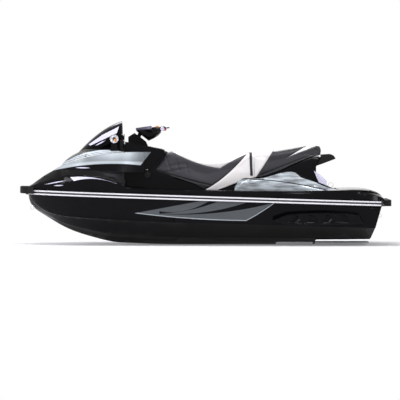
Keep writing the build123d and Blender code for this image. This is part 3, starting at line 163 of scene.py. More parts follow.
class Value:
    """A shader socket that can be used in a Python expression."""

    __add__ = __radd__ = binary("ADD")
    __sub__ = binary("SUBTRACT")
    __rsub__ = binary("SUBTRACT", swapped=True)
    __mul__ = __rmul__ = binary("MULTIPLY")
    __truediv__ = binary("DIVIDE")
    __rtruediv__ = binary("DIVIDE", swapped=True)
    __abs__ = binary("ABSOLUTE")
    least = binary("MINIMUM")
    most = binary("MAXIMUM")
    power = binary("POWER")

    def __init__(self, graph, socket):
        self.graph = graph
        self.socket = socket

    def __neg__(self):
        return self * -1.0

    def step(self, width):
        """0 below -width, 1 above +width, straight between."""
        return self.graph.maths("ADD", self / (2 * width), 0.5, clamp=True)

    def wave(self, pitch):
        return self.graph.maths("SINE", self * (2 * math.pi / pitch), 0.0)


class Graph:
    """A node tree; every node that is added comes from node()."""

    def __init__(self, tree):
        self.tree = tree

    def node(self, kind, settings=None, **sockets):
        made = self.tree.nodes.new(kind)
        for key, value in (settings or {}).items():
            setattr(made, key, value)
        for key, value in sockets.items():
            self.feed(made.inputs[key.replace("_", " ")], value)
        return made

    def feed(self, target, value):
        if isinstance(value, Value):
            value = value.socket
        if isinstance(value, bpy.types.NodeSocket):
            self.tree.links.new(value, target)
        elif hasattr(value, "__len__") and len(value) == 3 and len(target.default_value) == 4:
            target.default_value = (*value, 1.0)
        else:
            target.default_value = value

    def maths(self, operation, first, second, clamp=False):
        made = self.node("ShaderNodeMath", {"operation": operation, "use_clamp": clamp})
        self.feed(made.inputs[0], first)
        self.feed(made.inputs[1], second)
        return Value(self, made.outputs[0])

    def direct(self):
        """1 for rays from the camera, a mirror or a clear lens, 0 for the light that falls on things."""
        path = self.node("ShaderNodeLightPath")
        camera, glossy, through = (
            Value(self, path.outputs[f"Is {kind} Ray"]) for kind in ("Camera", "Glossy", "Transmission")
        )
        return camera.most(glossy).most(through)


class Finish(Graph):
    """One node material, built from expressions."""

    def __init__(self, name):
        self.material = bpy.data.materials.new(name)
        self.material.use_nodes = True
        super().__init__(self.material.node_tree)
        self.shader = self.tree.nodes["Principled BSDF"]
        self.place = self.node("ShaderNodeTexCoord").outputs["Object"]
        split = self.node("ShaderNodeSeparateXYZ", Vector=self.place)
        self.x, self.y, self.z = (Value(self, split.outputs[axis]) for axis in "XYZ")

    def mix(self, mask, low, high):
        """The colour low where mask is 0 and high where it is 1."""
        made = self.node("ShaderNodeMix", {"data_type": "RGBA"})
        self.feed(made.inputs[0], mask)
        self.feed(made.inputs[6], low)
        self.feed(made.inputs[7], high)
        return made.outputs[2]

    def noise(self, scale, detail=2.0, stretch=None, turn=(0.0, 0.0, 0.0)):
        where = self.place
        if stretch:
            where = self.node("ShaderNodeMapping", Vector=self.place, Rotation=turn, Scale=stretch).outputs[0]
        made = self.node("ShaderNodeTexNoise", Vector=where, Scale=scale, Detail=detail)
        return Value(self, made.outputs[0])

    def line(self, start, end):
        """How far, in metres, a point lies left of the line from start to end, seen in x and z."""
        dx, dz = end[0] - start[0], end[1] - start[1]
        length = math.hypot(dx, dz)
        offset = (dz * start[0] - dx * start[1]) / length
        return self.x * (-dz / length) + self.z * (dx / length) + offset

    def dash(self, start, end, width):
        """Positive in a spindle-shaped mark from start to end, width across its middle."""
        dx, dz = end[0] - start[0], end[1] - start[1]
        length = math.hypot(dx, dz)
        along = self.x * (dx / length) + self.z * (dz / length) - (dx * start[0] + dz * start[1]) / length
        taper = along * (length - along) * (2 * width / length**2)
        return taper - abs(self.line(start, end))

    def curve(self, first, middle, last):
        """The height in z above the parabola through three points in x and z."""
        bend, rise, level = parabola(first, middle, last)
        return self.z - ((self.x * bend + rise) * self.x + level)

    def area(self, corners):
        """Positive inside a convex area given by its corners in x and z, anticlockwise."""
        inside = None
        for start, end in zip(corners, corners[1:] + corners[:1]):
            side = self.line(start, end)
            inside = side if inside is None else inside.least(side)
        return inside

    def look(self, colour, roughness, metallic=0.0, bump=None, depth=0.001, specular=0.5):
        self.feed(self.shader.inputs["Base Color"], colour)
        self.feed(self.shader.inputs["Roughness"], roughness)
        self.feed(self.shader.inputs["Metallic"], metallic)
        self.shader.inputs["Specular IOR Level"].default_value = specular
        if bump is not None:
            raised = self.node("ShaderNodeBump", Height=bump, Distance=depth)
            self.feed(self.shader.inputs["Normal"], raised.outputs[0])
        return self.material

    def patchy(self, name, scale, low, high):
        """A colour of the sidebar that wanders between two levels."""
        return self.mix(self.noise(scale), tone(name, low), tone(name, high))

    def brushed(self, scale, stretch, detail=3.0, turn=0.5):
        """Streaks along the boat that lean with the nose."""
        return self.noise(scale, detail, (1.0, 1.0, stretch), (0.0, turn, 0.0))

    def gloss(self, colour, roughness, grain=60.0, metallic=0.0):
        """Polished moulding or paint with faint orange peel."""
        return self.look(colour, roughness, metallic, self.noise(grain), 0.0002, GLOSS_SPECULAR)

    def rough(self, scale, span, base):
        """A roughness that wanders over the surface."""
        return self.noise(scale) * span + base


# Finishes


EDGE = 0.0012  # half the width over which one paint runs into the next
GLOSS_SPECULAR = 0.07


def paint(name):
    """The colours chosen in the sidebar."""
    return tuple(getattr(bpy.context.scene.watercraft_paint, name))


def tone(name, level):
    """A colour of the sidebar, darker or brighter."""
    return [c * level for c in paint(name)]


def mottled(name, scale, low, high, rough, grain=None, depth=0.0002, detail=2.0, **shine):
    """A plain material whose colour and roughness wander a little, with or without a raised grain."""
    f = Finish(name)
    bump = None if grain is None else f.noise(grain, detail)
    return f.look(f.mix(f.noise(scale), low, high), f.rough(*rough), bump=bump, depth=depth, **shine)


def gloss_black(name):
    """Polished black moulding: faint orange peel, rubbed a little duller in places."""
    f = Finish(name)
    colour = f.patchy("black", 7.0, 1.0, 1.5)
    return f.gloss(colour, f.rough(4.0, 0.08, 0.06), 70.0)


def hull_gelcoat(name):
    """Black gelcoat with silver blades on the side, duller below the chine."""
    f = Finish(name)
    low = f.curve(*HULL_BLADE_LOW)
    hook = f.curve(*HULL_BLADE_HOOK)
    ahead = hook.most(f.x - HULL_HOOK_X)
    blade = low.least(ahead).least(f.line(*HULL_BLADE_TOP)).least(HULL_BLADE_TIP[0] - f.x)
    for lower, upper in HULL_GAPS:
        gap = f.curve(*lower).least(-f.curve(*upper)).least(lower[0][0] - f.x)
        blade = blade.least(-gap)
    weave = f.noise(260.0, 1.0) * 0.5 + f.x.wave(0.009) * f.z.wave(0.009) * 0.25
    grey = f.mix(weave, tone("silver", 0.16), tone("silver", 0.42))
    rim = (HULL_RIM - abs(low.least(ahead))).step(EDGE) * blade.step(EDGE)
    grey = f.mix(rim, grey, paint("silver"))
    colour = f.mix(blade.step(EDGE), paint("black"), grey)
    under = (-f.z - CHINE_DEPTH).step(0.01)
    return f.gloss(colour, f.rough(5.0, 0.08, 0.06) + under * 0.26 + blade.step(EDGE) * 0.12)


def foredeck_black(name):
    """Black deck with a painted highlight crescent along its moulded shoulder crease and thin painted
    reflection dashes near the bow.
    """
    f = Finish(name)
    top, foot, front = DECK_HIGHLIGHT_CRESCENT
    # The mask of the painted highlight crescent and the painted reflection dashes, in the pale trim colour
    mark = (-f.curve(*top)).least(f.curve(*foot)).least(f.line(*front)).least(f.x - top[2][0])
    for start, end in DECK_REFLECTION_DASHES:
        mark = mark.most(f.dash(start, end, 0.009))
    colour = f.mix(mark.step(EDGE), paint("black"), paint("lilac"))
    return f.gloss(colour, f.rough(4.0, 0.08, 0.06), 70.0)


def rail_rubber(name):
    """Black rubber rail with two white stripes let into its side."""
    f = Finish(name)
    rise = f.z - f.x * SHEER_SLOPE - SHEER_Z
    trim = bpy.context.scene.watercraft_trim
    stripe = trim.stripe_width / 2 - abs(abs(rise) - trim.stripe_apart / 2)
    ends = (STRIPE_REACH - abs(f.x - STRIPE_MIDDLE)).least(stripe)
    white = f.patchy("stripe", 30.0, 1.0, 0.9)
    colour = f.mix(ends.step(EDGE), tone("rubber", 1.3), white)
    raised = ends.step(0.002) + f.noise(300.0) * 0.2
    return f.look(colour, f.rough(40.0, 0.2, 0.35), bump=raised, depth=0.0006)


def rubber(name):
    """Rubber of bumpers and seals."""
    return mottled(name, 12.0, paint("rubber"), tone("rubber", 1.6), (60.0, 0.2, 0.5), 500.0, 0.0003,
                   specular=0.15)


def mat_rubber(name):
    """Traction mat: ribs across the footwell, with chevrons paler along their tops."""
    f = Finish(name)
    ribs = (f.x + abs(abs(f.y) - 0.34) * 0.8).wave(0.016).step(0.6)
    colour = f.mix(ribs, paint("rubber"), tone("rubber", 2.2))
    raised = ribs + f.noise(400.0) * 0.2
    return f.look(colour, f.rough(80.0, 0.15, 0.62), bump=raised, depth=0.0016, specular=0.3)


def moulded_plastic(name):
    """Black moulded plastic with a fine grain."""
    return mottled(name, 9.0, paint("plastic"), tone("plastic", 1.5), (30.0, 0.12, 0.34), 420.0,
                   specular=0.15)


def silver_streaks(f, turn=0.35):
    """Pale blue-grey metallic paint with long bright brush streaks."""
    streaks = f.noise(3.2, 5.0, (2.2, 1.0, 14.0), (0.0, turn, 0.0))
    return f.mix((streaks - 0.5).step(0.13), tone("silver", 0.50), tone("silver", 1.32))


def side_panel(name):
    """Silver side of the nose under the hood, black below it and behind its slanted rear edge, with painted
    highlights on the silver and a pale painted highlight dash on the black below.
    """
    f = Finish(name)
    shown = f.curve(*SIDE_PANEL_FOOT).least(f.line(*SIDE_PANEL_REAR)).least(SIDE_PANEL_TOP - f.z)
    brush = f.brushed(60.0, 12.0)
    base = f.mix(brush, tone("silver", 0.26), tone("silver", 0.50))
    # Painted highlights on the silver: a bright spot in the middle (glow), a band along the panel's foot
    # (foot) and a brightening towards the nose (nose)
    glow = (0.16 - abs(f.x - 0.80)).step(0.16) * (f.z - 0.49).step(0.05)
    foot = (0.016 - abs(f.curve(*SIDE_PANEL_FOOT) - 0.012)).step(0.01)
    nose = (f.x - 1.05).step(0.16)
    base = f.mix(glow.most(foot * 0.7).most(nose * 0.6), base, tone("silver", 1.45))
    # A painted highlight: a pale dash on the black under the silver panel
    dash = f.dash(*SIDE_HIGHLIGHT_DASH, 0.010).step(EDGE)
    colour = f.mix(dash, f.mix(shown.step(EDGE), paint("black"), base), paint("lilac"))
    return f.gloss(colour, f.rough(8.0, 0.08, 0.14), metallic=shown.step(EDGE) * 0.25)


def hood_paint(name):
    """Black hood with a silver band along its foot, painted brighter than the silver as a painted highlight,
    and two thin dark lines in the band.
    """
    f = Finish(name)
    band = -f.curve(*HOOD_BAND_TOP)
    line = (0.0016 - abs(f.curve(*HOOD_LINE) + 0.004)).most(0.0013 - abs(f.curve(*HOOD_LINE) - 0.009))
    brush = f.brushed(20.0, 8.0)
    # The band's silver paint, brightened up to 1.7 times as a painted highlight
    bright = f.mix(brush, tone("silver", 1.0), tone("silver", 1.7))
    shown = band.least(f.x - 0.70)
    colour = f.mix(shown.step(EDGE * 2), paint("black"), bright)
    colour = f.mix(line.step(EDGE) * shown.step(EDGE), colour, tone("black", 2))
    return f.gloss(colour, f.rough(8.0, 0.08, 0.08), metallic=shown.step(EDGE) * 0.2)


def shield_gloss(name):
    """Black acrylic windshield with a silver inset each side and a painted highlight, a thin pale stripe,
    under it.
    """
    f = Finish(name)
    # The silver inset, joined with the painted highlight stripe under it
    inset = f.area(SHIELD_INSET).most(f.dash(*SHIELD_HIGHLIGHT_STRIPE, 0.010))
    sheen = f.brushed(5.0, 4.0, 2.0, 0.55)
    pale = f.mix(sheen, tone("lilac", 0.75), paint("lilac"))
    colour = f.mix(inset.step(EDGE), tone("black", 0.8), pale)
    return f.look(colour, f.rough(5.0, 0.06, 0.04), specular=0.02)


def quarter_silver(name):
    """Silver quarter panel split by a dark line, with a black patch behind and black below."""
    f = Finish(name)
    line = 0.0042 - abs(f.curve(*QUARTER_LINE))
    dark = f.area(QUARTER_PATCH).most(line).most(-f.line(*QUARTER_FOOT))
    colour = f.mix(f.area(REAR_FACE).step(EDGE), silver_streaks(f), paint("lilac"))
    colour = f.mix(dark.step(EDGE), colour, paint("black"))
    return f.gloss(colour, f.rough(8.0, 0.08, 0.14), metallic=(-dark).step(EDGE) * 0.25)


def pedestal_black(name):
    f = Finish(name)
    colour = f.mix(f.area(REAR_FACE).step(EDGE), paint("black"), paint("lilac"))
    return f.gloss(colour, f.rough(5.0, 0.08, 0.08), 70.0)


def bar_cover(name):
    """Padded bar cover: violet-grey on top, black beneath."""
    f = Finish(name)
    upper = f.line(PAD_LINE[1], PAD_LINE[0])
    violet = f.patchy("pad", 14.0, 1.0, 1.4)
    colour = f.mix(upper.step(0.004), paint("black"), violet)
    return f.look(colour, f.rough(30.0, 0.15, 0.3), bump=f.noise(350.0), depth=0.0003, specular=0.4)


def column_gloss(name):
    """Black steering column cover with a bright trim line at its upper edge."""
    f = Finish(name)
    line = 0.0026 - abs(f.line(*COLUMN_LINE) + 0.006)
    colour = f.mix(line.step(EDGE), paint("black"), paint("lilac"))
    return f.look(colour, f.rough(6.0, 0.1, 0.1), metallic=line.step(EDGE) * 0.8, specular=GLOSS_SPECULAR)


def grip_rubber(name):
    """Ribbed rubber of the hand grips."""
    f = Finish(name)
    ribs = f.y.wave(0.0075).step(0.5)
    colour = f.mix(ribs, tone("rubber", 0.8), tone("rubber", 1.8))
    return f.look(colour, f.rough(90.0, 0.15, 0.55), bump=ribs, depth=0.0012, specular=0.3)


def vinyl(f, colour, depth, extra=None):
    """Marine vinyl: fine pebble grain with a soft sheen over whatever colour is under it."""
    grain = f.noise(520.0, 1.0) + f.noise(190.0, 2.0) * 0.6
    raised = grain if extra is None else grain + extra
    return f.look(colour, f.rough(24.0, 0.14, 0.38), bump=raised, depth=depth, specular=0.35)


def front_vinyl(name):
    """Front seat: charcoal side with a darker lower roll, white crown and white wedge behind."""
    f = Finish(name)
    crown = f.curve(*SEAT_CROWN_FRONT).least(f.curve(*SEAT_CROWN_REAR))
    wedge = f.curve(*SEAT_WEDGE)
    black = (-crown).least(wedge)
    roll = f.curve(*SEAT_ROLL)
    charcoal = f.patchy("charcoal", 6.0, 1.0, 1.35)
    charcoal = f.mix(roll.step(0.004), tone("charcoal", 0.35), charcoal)
    seam = (0.0026 - abs(black)).most(0.0026 - abs(roll.most(-black)))
    white = f.patchy("white", 6.0, 0.94, 1.0)
    colour = f.mix(black.step(EDGE), white, charcoal)
    colour = f.mix(seam.step(EDGE) * 0.6, colour, tone("charcoal", 0.4))
    return vinyl(f, colour, 0.00035)


def rear_vinyl(name):
    """Rear seat: white ahead of its slanted seam, black behind, with a white wedge on top."""
    f = Finish(name)
    front = f.line(*REAR_SEAT_FRONT)
    wedge = (-f.line(*REAR_SEAT_LOW)).least(f.line(*REAR_SEAT_HIGH))
    pale = front.most(wedge)
    black = f.patchy("charcoal", 6.0, 0.45, 0.8)
    white = f.patchy("white", 6.0, 0.94, 1.0)
    colour = f.mix(pale.step(EDGE), black, white)
    seam = (0.0024 - abs(pale)).step(EDGE)
    colour = f.mix(seam * 0.6, colour, tone("charcoal", 0.4))
    return vinyl(f, colour, 0.00035)


def webbing(name):
    """Woven strap: fine ribs along it and a stitched edge."""
    f = Finish(name)
    weave = f.x.wave(0.0022) * f.z.wave(0.0018) * 0.5 + 0.5
    colour = f.mix(weave, tone("charcoal", 0.6), tone("charcoal", 1.3))
    return f.look(colour, f.rough(200.0, 0.1, 0.6), bump=weave, depth=0.0005, specular=0.3)


def chrome(name):
    """Polished stainless steel."""
    return mottled(name, 40.0, (0.72, 0.72, 0.74), (0.84, 0.84, 0.86), (120.0, 0.1, 0.08), metallic=1.0)


def cast_alloy(name):
    """Sand-cast and painted aluminium of the pump."""
    return mottled(name, 20.0, (0.30, 0.31, 0.33), (0.42, 0.43, 0.45), (60.0, 0.2, 0.38), 260.0, 0.0005, 3.0,
                   metallic=0.75)


def machined_steel(name):
    """Polished steel with fine turning marks round the shaft."""
    f = Finish(name)
    rings = f.x.wave(0.0016) * 0.5 + 0.5
    colour = f.mix(f.noise(30.0), (0.56, 0.56, 0.58), (0.68, 0.68, 0.70))
    return f.look(colour, f.rough(50.0, 0.12, 0.2), metallic=1.0, bump=rings, depth=0.0001)


def engine_cast(name):
    """Rough cast metal of the engine block."""
    return mottled(name, 14.0, (0.16, 0.16, 0.17), (0.26, 0.26, 0.27), (60.0, 0.2, 0.5), 240.0, 0.0008, 3.0,
                   metallic=0.6)


def coloured_button(name, shade):
    """Coloured moulding, darker in small patches."""
    return mottled(name, 90.0, tone(shade, 0.8), paint(shade), (150.0, 0.1, 0.25), 400.0)


def lamp_reflector(name):
    """Bright fluted reflector behind the lens."""
    f = Finish(name)
    flutes = f.x.wave(0.008) * 0.5 + 0.5
    colour = f.mix(flutes, (0.60, 0.58, 0.60), (0.92, 0.90, 0.93))
    return f.look(colour, f.rough(30.0, 0.1, 0.15), metallic=0.35, bump=flutes, depth=0.001)


def clear_lens(name):
    """Clear moulded lens."""
    f = Finish(name)
    colour = f.mix(f.noise(30.0), (0.97, 0.97, 1.0), (1.0, 1.0, 1.0))
    f.look(colour, f.rough(30.0, 0.02, 0.02))
    f.shader.inputs["Transmission Weight"].default_value = 1.0
    f.shader.inputs["IOR"].default_value = 1.35
    return f.material


def dial_face(name, centres, radius):
    """Black dials, each with a ring of pale marks."""
    f = Finish(name)
    marks = None
    for y, z in centres:
        across = f.y - y
        up = f.z - z
        reach = (across * across + up * up).power(0.5)
        turn = f.maths("ARCTAN2", up, across)
        ring = (radius * 0.10 - abs(reach - radius * 0.80)).step(0.0003)
        ticks = ring * (turn.wave(2 * math.pi / 24) - 0.75).step(0.1)
        marks = ticks if marks is None else marks.most(ticks)
    colour = f.mix(marks, (0.01, 0.01, 0.012), (0.85, 0.85, 0.88))
    return f.look(colour, f.rough(50.0, 0.1, 0.2))


# Modelling helpers


MERGE = 0.00001
CRISP, PLAIN, ROUND, SOFT = 24.0, 32.0, 40.0, 60.0  # smoothing angles in degrees
QUAD_TURN = math.radians(8)
QUAD_SKEW = math.radians(70)


def edit(everything=True):
    """Enters edit mode on the chosen piece, with all of it selected unless told otherwise."""
    bpy.ops.object.mode_set(mode="EDIT")
    if everything:
        bpy.ops.mesh.select_all(action="SELECT")


def leave():
    """Goes back to object mode."""
    bpy.ops.object.mode_set(mode="OBJECT")


def push(*way):
    """Extrudes the selected faces by way, in metres."""
    bpy.ops.mesh.extrude_region_move(TRANSFORM_OT_translate={"value": way})


def choose(piece=None):
    """Leaves edit mode, selects nothing, and then the piece if one is given."""
    if bpy.context.mode != "OBJECT":
        leave()
    bpy.ops.object.select_all(action="DESELECT")
    if piece is not None:
        piece.select_set(True)
        bpy.context.view_layer.objects.active = piece


def pick(piece, wanted):
    """In edit mode, selects the faces whose middle and normal pass a test."""
    bpy.ops.mesh.select_all(action="DESELECT")
    mesh = bmesh.from_edit_mesh(piece.data)
    for face in mesh.faces:
        face.select_set(bool(wanted(face.calc_center_median(), face.normal)))
    bmesh.update_edit_mesh(piece.data)


def use(piece, kind, **settings):
    """Adds a modifier and applies it."""
    choose(piece)
    added = piece.modifiers.new(kind.title(), kind)
    for key, value in settings.items():
        setattr(added, key, value)
    bpy.ops.object.modifier_apply(modifier=added.name)


def soften(piece, width, segments, corner):
    """Bevels the edges sharper than corner, in degrees."""
    limit = math.radians(corner)
    use(piece, "BEVEL", width=width, segments=segments, limit_method="ANGLE", angle_limit=limit)


def imitate(node, ending):
    """A copy of a node's mesh with its seams merged, left in edit mode with all of it selected."""
    piece = bpy.data.objects.new(node + ending, NODES[node].data.copy())
    bpy.context.scene.collection.objects.link(piece)
    choose(piece)
    edit()
    bpy.ops.mesh.remove_doubles(threshold=MERGE)
    return piece


def settle(piece, body, material, angle=PLAIN):
    """Puts the place into the mesh, turns its faces outwards, and gives it its body and finish."""
    choose(piece)
    bpy.ops.object.transform_apply(location=True, rotation=True, scale=True)
    edit()
    bpy.ops.mesh.remove_doubles(threshold=MERGE)
    bpy.ops.mesh.normals_make_consistent(inside=False)
    leave()
    bpy.ops.object.shade_smooth_by_angle(angle=math.radians(angle))
    piece.data.materials.clear()
    piece.data.materials.append(material)
    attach(piece, body)


def turned(name, foot, aim, radius, depth, steps, sides=32, rounded=0.0006):
    """A turned piece: a disc at foot whose outer face is stepped by (inset, rise) pairs along aim."""
    choose()
    way = Vector(aim).normalized()
    bpy.ops.mesh.primitive_cylinder_add(
        vertices=sides,
        radius=radius,
        depth=depth,
        location=Vector(foot) + way * depth / 2,
        rotation=way.to_track_quat("Z", "Y").to_euler(),
    )
    piece = bpy.context.object
    piece.name = name
    edit(everything=False)
    pick(piece, lambda middle, normal: normal.z > 0.9)
    for inset, rise in steps:
        if inset:
            bpy.ops.mesh.inset(thickness=inset, depth=0.0)
        if rise:
            push(*(way * rise))
    leave()
    soften(piece, rounded, 2, 40)
    return piece


def block(name, low, high, rounded):
    """A rounded block from low to high."""
    choose()
    low, high = Vector(low), Vector(high)
    bpy.ops.mesh.primitive_cube_add(size=1.0, location=(low + high) / 2, scale=high - low)
    piece = bpy.context.object
    piece.name = name
    bpy.ops.object.transform_apply(location=True, rotation=True, scale=True)
    soften(piece, rounded, 3, 40)
    return piece


def mirrored(piece, name):
    """A copy with its own mesh on the other side of the boat."""
    choose(piece)
    bpy.ops.object.duplicate(linked=False)
    copy = bpy.context.object
    copy.name = name
    bpy.ops.transform.mirror(constraint_axis=(False, True, False), orient_type="GLOBAL",
                             center_override=(0.0, 0.0, 0.0))
    return copy


def joined(name, parts):
    """Several pieces as one mesh."""
    choose(parts[0])
    for part in parts[1:]:
        part.select_set(True)
    bpy.ops.object.join()
    parts[0].name = name
    return parts[0]


def skin(node, material, angle=PLAIN):
    """A smooth-shaded copy of a rigid node, which stands for it."""
    piece = imitate(node, "_shell")
    bpy.ops.mesh.tris_convert_to_quads(face_threshold=QUAD_TURN, shape_threshold=QUAD_SKEW)
    leave()
    settle(piece, BODIES[node], material, angle)
    use(piece, "WEIGHTED_NORMAL", keep_sharp=True, weight=80)
    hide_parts(node)


def dress(finish, *nodes, angle=PLAIN):
    """Skins each node with one shared finish."""
    material = finish(finish.__name__)
    for node in nodes:
        skin(node, material, angle)


# Operators


class WATERCRAFT_OT_hull(bpy.types.Operator):
    """The hull with its pump intake, sponsons, rub rail and bumpers"""

    bl_idname = "watercraft.hull"
    bl_label = "Hull"

    def execute(self, context):
        dress(hull_gelcoat, "hull", angle=CRISP)
        dress(moulded_plastic, "pump_intake")
        dress(gloss_black, "sponson_left", "sponson_right", angle=CRISP)
        dress(rail_rubber, "rub_rail")
        dress(rubber, "bow_bumper", "stern_bumper", angle=ROUND)
        return {"FINISHED"}


class WATERCRAFT_OT_deck(bpy.types.Operator):
    """The deck, pedestal, quarter panels, traction mats, grab handle, side caps and the seat's cheeks"""

    bl_idname = "watercraft.deck"
    bl_label = "Deck"

    def execute(self, context):
        dress(foredeck_black, "deck", angle=CRISP)
        dress(pedestal_black, "pedestal")
        dress(quarter_silver, "quarter_panel_left", "quarter_panel_right")
        dress(mat_rubber, "footwell_mat_left", "footwell_mat_right")
        skin("grab_handle", moulded_plastic("handle_plastic"), ROUND)
        self.cheeks()
        cap_black = moulded_plastic("cap_plastic")
        for side, sign in SIDES:
            skin("side_cap_" + side, cap_black)
            low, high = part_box("side_cap_" + side)
            middle = (low + high) / 2
            face = high.y if sign > 0 else low.y
            r = (high.x - low.x) / 2
            cap = turned("cap_ring_" + side, (middle.x, face, middle.z), (0, sign, 0), r * 0.86, 0.0015,
                         ((r * 0.12, 0.0), (0.0, -0.0012), (r * 0.34, 0.0), (0.0, 0.003)))
            bar = block("cap_bar_" + side, (middle.x - r * 0.42, face - 0.001, middle.z - 0.0035),
                        (middle.x + r * 0.42, face + 0.007, middle.z + 0.0035), 0.001)
            if sign < 0:
                choose(bar)
                bpy.ops.transform.translate(value=(0.0, -0.006, 0.0))
            settle(joined("cap_ring_" + side, [cap, bar]), "boat", cap_black)
        return {"FINISHED"}

    def cheeks(self):
        """The thin black plate each side that covers the open slit in front of the cushion."""
        choose()
        bpy.ops.mesh.primitive_circle_add(vertices=len(SEAT_CHEEK), radius=0.1, fill_type="NGON")
        cheek = bpy.context.object
        cheek.name = "seat_cheek_left"
        for point, (x, z) in zip(cheek.data.vertices, SEAT_CHEEK):
            point.co = (x, CHEEK_INNER, z)
        edit()
        push(0.0, CHEEK_OUTER - CHEEK_INNER, 0.0)
        leave()
        soften(cheek, 0.002, 2, 60)
        other = mirrored(cheek, "seat_cheek_right")
        shade = gloss_black("cheek_black")
        for piece in (cheek, other):
            settle(piece, "boat", shade)


class WATERCRAFT_OT_cowl(bpy.types.Operator):
    """The nose, hood and its seal, windshield, console, glovebox lid and column cover"""

    bl_idname = "watercraft.cowl"
    bl_label = "Cowl"

    def execute(self, context):
        dress(side_panel, "nacelle", "console", angle=CRISP)
        dress(hood_paint, "hood", angle=CRISP)
        dress(shield_gloss, "windshield", angle=ROUND)
        dress(gloss_black, "glovebox_lid")
        self.gasket()
        dress(column_gloss, "column_cover")
        return {"FINISHED"}

    def gasket(self):
        """The rubber wall across the console's front that fills the slit behind the hood."""
        low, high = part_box("console")
        hood_low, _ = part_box("hood")
        foot = (high.x - 0.003, low.y + SEAL_SIDE, SEAL_FOOT)
        seal = block("hood_seal", foot, (hood_low.x - 0.0015, high.y - SEAL_SIDE, SEAL_TOP), 0.0015)
        settle(seal, "boat", rubber("seal_rubber"))


class WATERCRAFT_OT_instruments(bpy.types.Operator):
    """The gauge pod with its dials, and the round side lamps"""

    bl_idname = "watercraft.instruments"
    bl_label = "Instruments"

    def execute(self, context):
        skin("gauge_pod", gloss_black("pod_gloss"))
        low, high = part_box("gauge_pod")
        height = (low.z + high.z) / 2
        dials = [(y, height) for y in (-DIAL_SIDE, DIAL_SIDE)]
        face = dial_face("dial_face", dials, DIAL_MARKS)
        parts = [
            turned("dial", (low.x + 0.002, y, z), (-1, 0, 0), DIAL_RADIUS, 0.004,
                   ((0.004, 0.0), (0.0, -0.0025), (0.016, 0.0), (0.0, 0.0015)))
            for y, z in dials
        ]
        settle(joined("dials", parts), "hood", face)
        needles = [
            block("needle", (low.x - 0.0032, y - 0.0008, z), (low.x - 0.0024, y + 0.0008, z + 0.017), 0.0003)
            for y, z in dials
        ]
        settle(joined("needles", needles), "hood", coloured_button("needle_red", "red"))
        shine = lamp_reflector("lamp_reflector")
        amber = coloured_button("lamp_amber", "amber")
        lens = clear_lens("clear_lens")
        for side, sign in SIDES:
            skin("lamp_pod_" + side, gloss_black("lamp_gloss_" + side))
            low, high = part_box("lamp_pod_" + side)
            outer = high.y if sign > 0 else low.y
            middle = Vector(((low.x + high.x) / 2, outer, high.z - (high.x - low.x) / 2))
            aim = (0, sign, 0)
            settle(
                turned("lamp_bowl_" + side, middle - Vector(aim) * 0.001, aim, 0.0365, 0.0035,
                       ((0.002, 0.0), (0.0, -0.002), (0.020, -0.0005)), 40),
                "hood", shine)
            bulb = turned("lamp_bulb_" + side, middle + Vector((-0.009, 0.0, -0.010)), aim, 0.0115, 0.004,
                          ((0.003, 0.002), (0.003, 0.001)), 24, 0.001)
            settle(bulb, "hood", amber)
            glass = turned("lamp_lens_" + side, middle + Vector(aim) * 0.0075, aim, 0.0368, 0.001,
                           ((0.005, 0.0), (0.0, 0.003), (0.008, 0.0), (0.0, 0.0015)), 40, 0.0009)
            settle(glass, "hood", lens, SOFT)
        return {"FINISHED"}


class WATERCRAFT_OT_controls(bpy.types.Operator):
    """The handlebar with its grips, cover, shroud, levers, switches and bar ends"""

    bl_idname = "watercraft.controls"
    bl_label = "Controls"

    def execute(self, context):
        dress(gloss_black, "handlebar", "lever_left", "lever_right", angle=ROUND)
        dress(bar_cover, "bar_pad", angle=ROUND)
        dress(moulded_plastic, "switch_box_left", "switch_box_right")
        dress(grip_rubber, "grip_left", "grip_right", angle=ROUND)
        self.shroud()
        shades = {name: coloured_button("button_" + name, name) for name in ("amber", "lilac", "red")}
        for side, sign in SIDES:
            low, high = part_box("switch_box_" + side)
            middle = (low + high) / 2
            foot = (middle.x - 0.012, middle.y, high.z - 0.004)
            button = turned("start_button_" + side, foot, (-0.3, 0, 1), 0.013,
                             0.012, ((0.002, 0.0), (0.0, -0.002), (0.002, 0.0), (0.0, 0.005)), 24)
            settle(button, "steering", shades["amber"])
            low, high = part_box("grip_" + side)
            end = high.y if sign > 0 else low.y
            hub = Vector((low.x + 0.024, end, (low.z + high.z) / 2 - 0.001))
            aim = Vector((-0.35, sign, 0))
            cap = turned("bar_end_" + side, hub - aim * 0.002, aim, 0.0175, 0.006,
                         ((0.003, 0.0), (0.0, 0.003), (0.005, 0.0), (0.0, -0.004)), 32, 0.001)
            settle(cap, "steering", shades["lilac"])
            foot = hub + Vector((-0.017, -0.010 * sign, -0.006))
            stop = turned("bar_stop_" + side, foot, aim, 0.009, 0.008,
                          ((0.002, 0.002),), 24, 0.001)
            settle(stop, "steering", shades["red"])
        return {"FINISHED"}

    def shroud(self):
        """The deep black cover under the bar, narrower towards the rider."""
        choose()
        bpy.ops.mesh.primitive_grid_add(x_subdivisions=len(BAR_SHROUD) - 1, y_subdivisions=6, size=1.0)
        piece = bpy.context.object
        piece.name = "bar_shroud"
        for point in piece.data.vertices:
            x, foot, top, half = BAR_SHROUD[round((point.co.x + 0.5) * (len(BAR_SHROUD) - 1))]
            across = point.co.y * 2
            point.co = (x, across * half, foot + (top - foot) * 0.35 * abs(across) ** 3)
        choose(piece)
        edit()
        push(0.0, 0.0, 0.02)
        leave()
        tops = {x: top for x, foot, top, half in BAR_SHROUD}
        for point in piece.data.vertices:
            if point.select:
                point.co.z = min(tops.items(), key=lambda place: abs(place[0] - point.co.x))[1]
        soften(piece, 0.004, 3, 50)
        settle(piece, "steering", gloss_black("shroud_black"), 50.0)


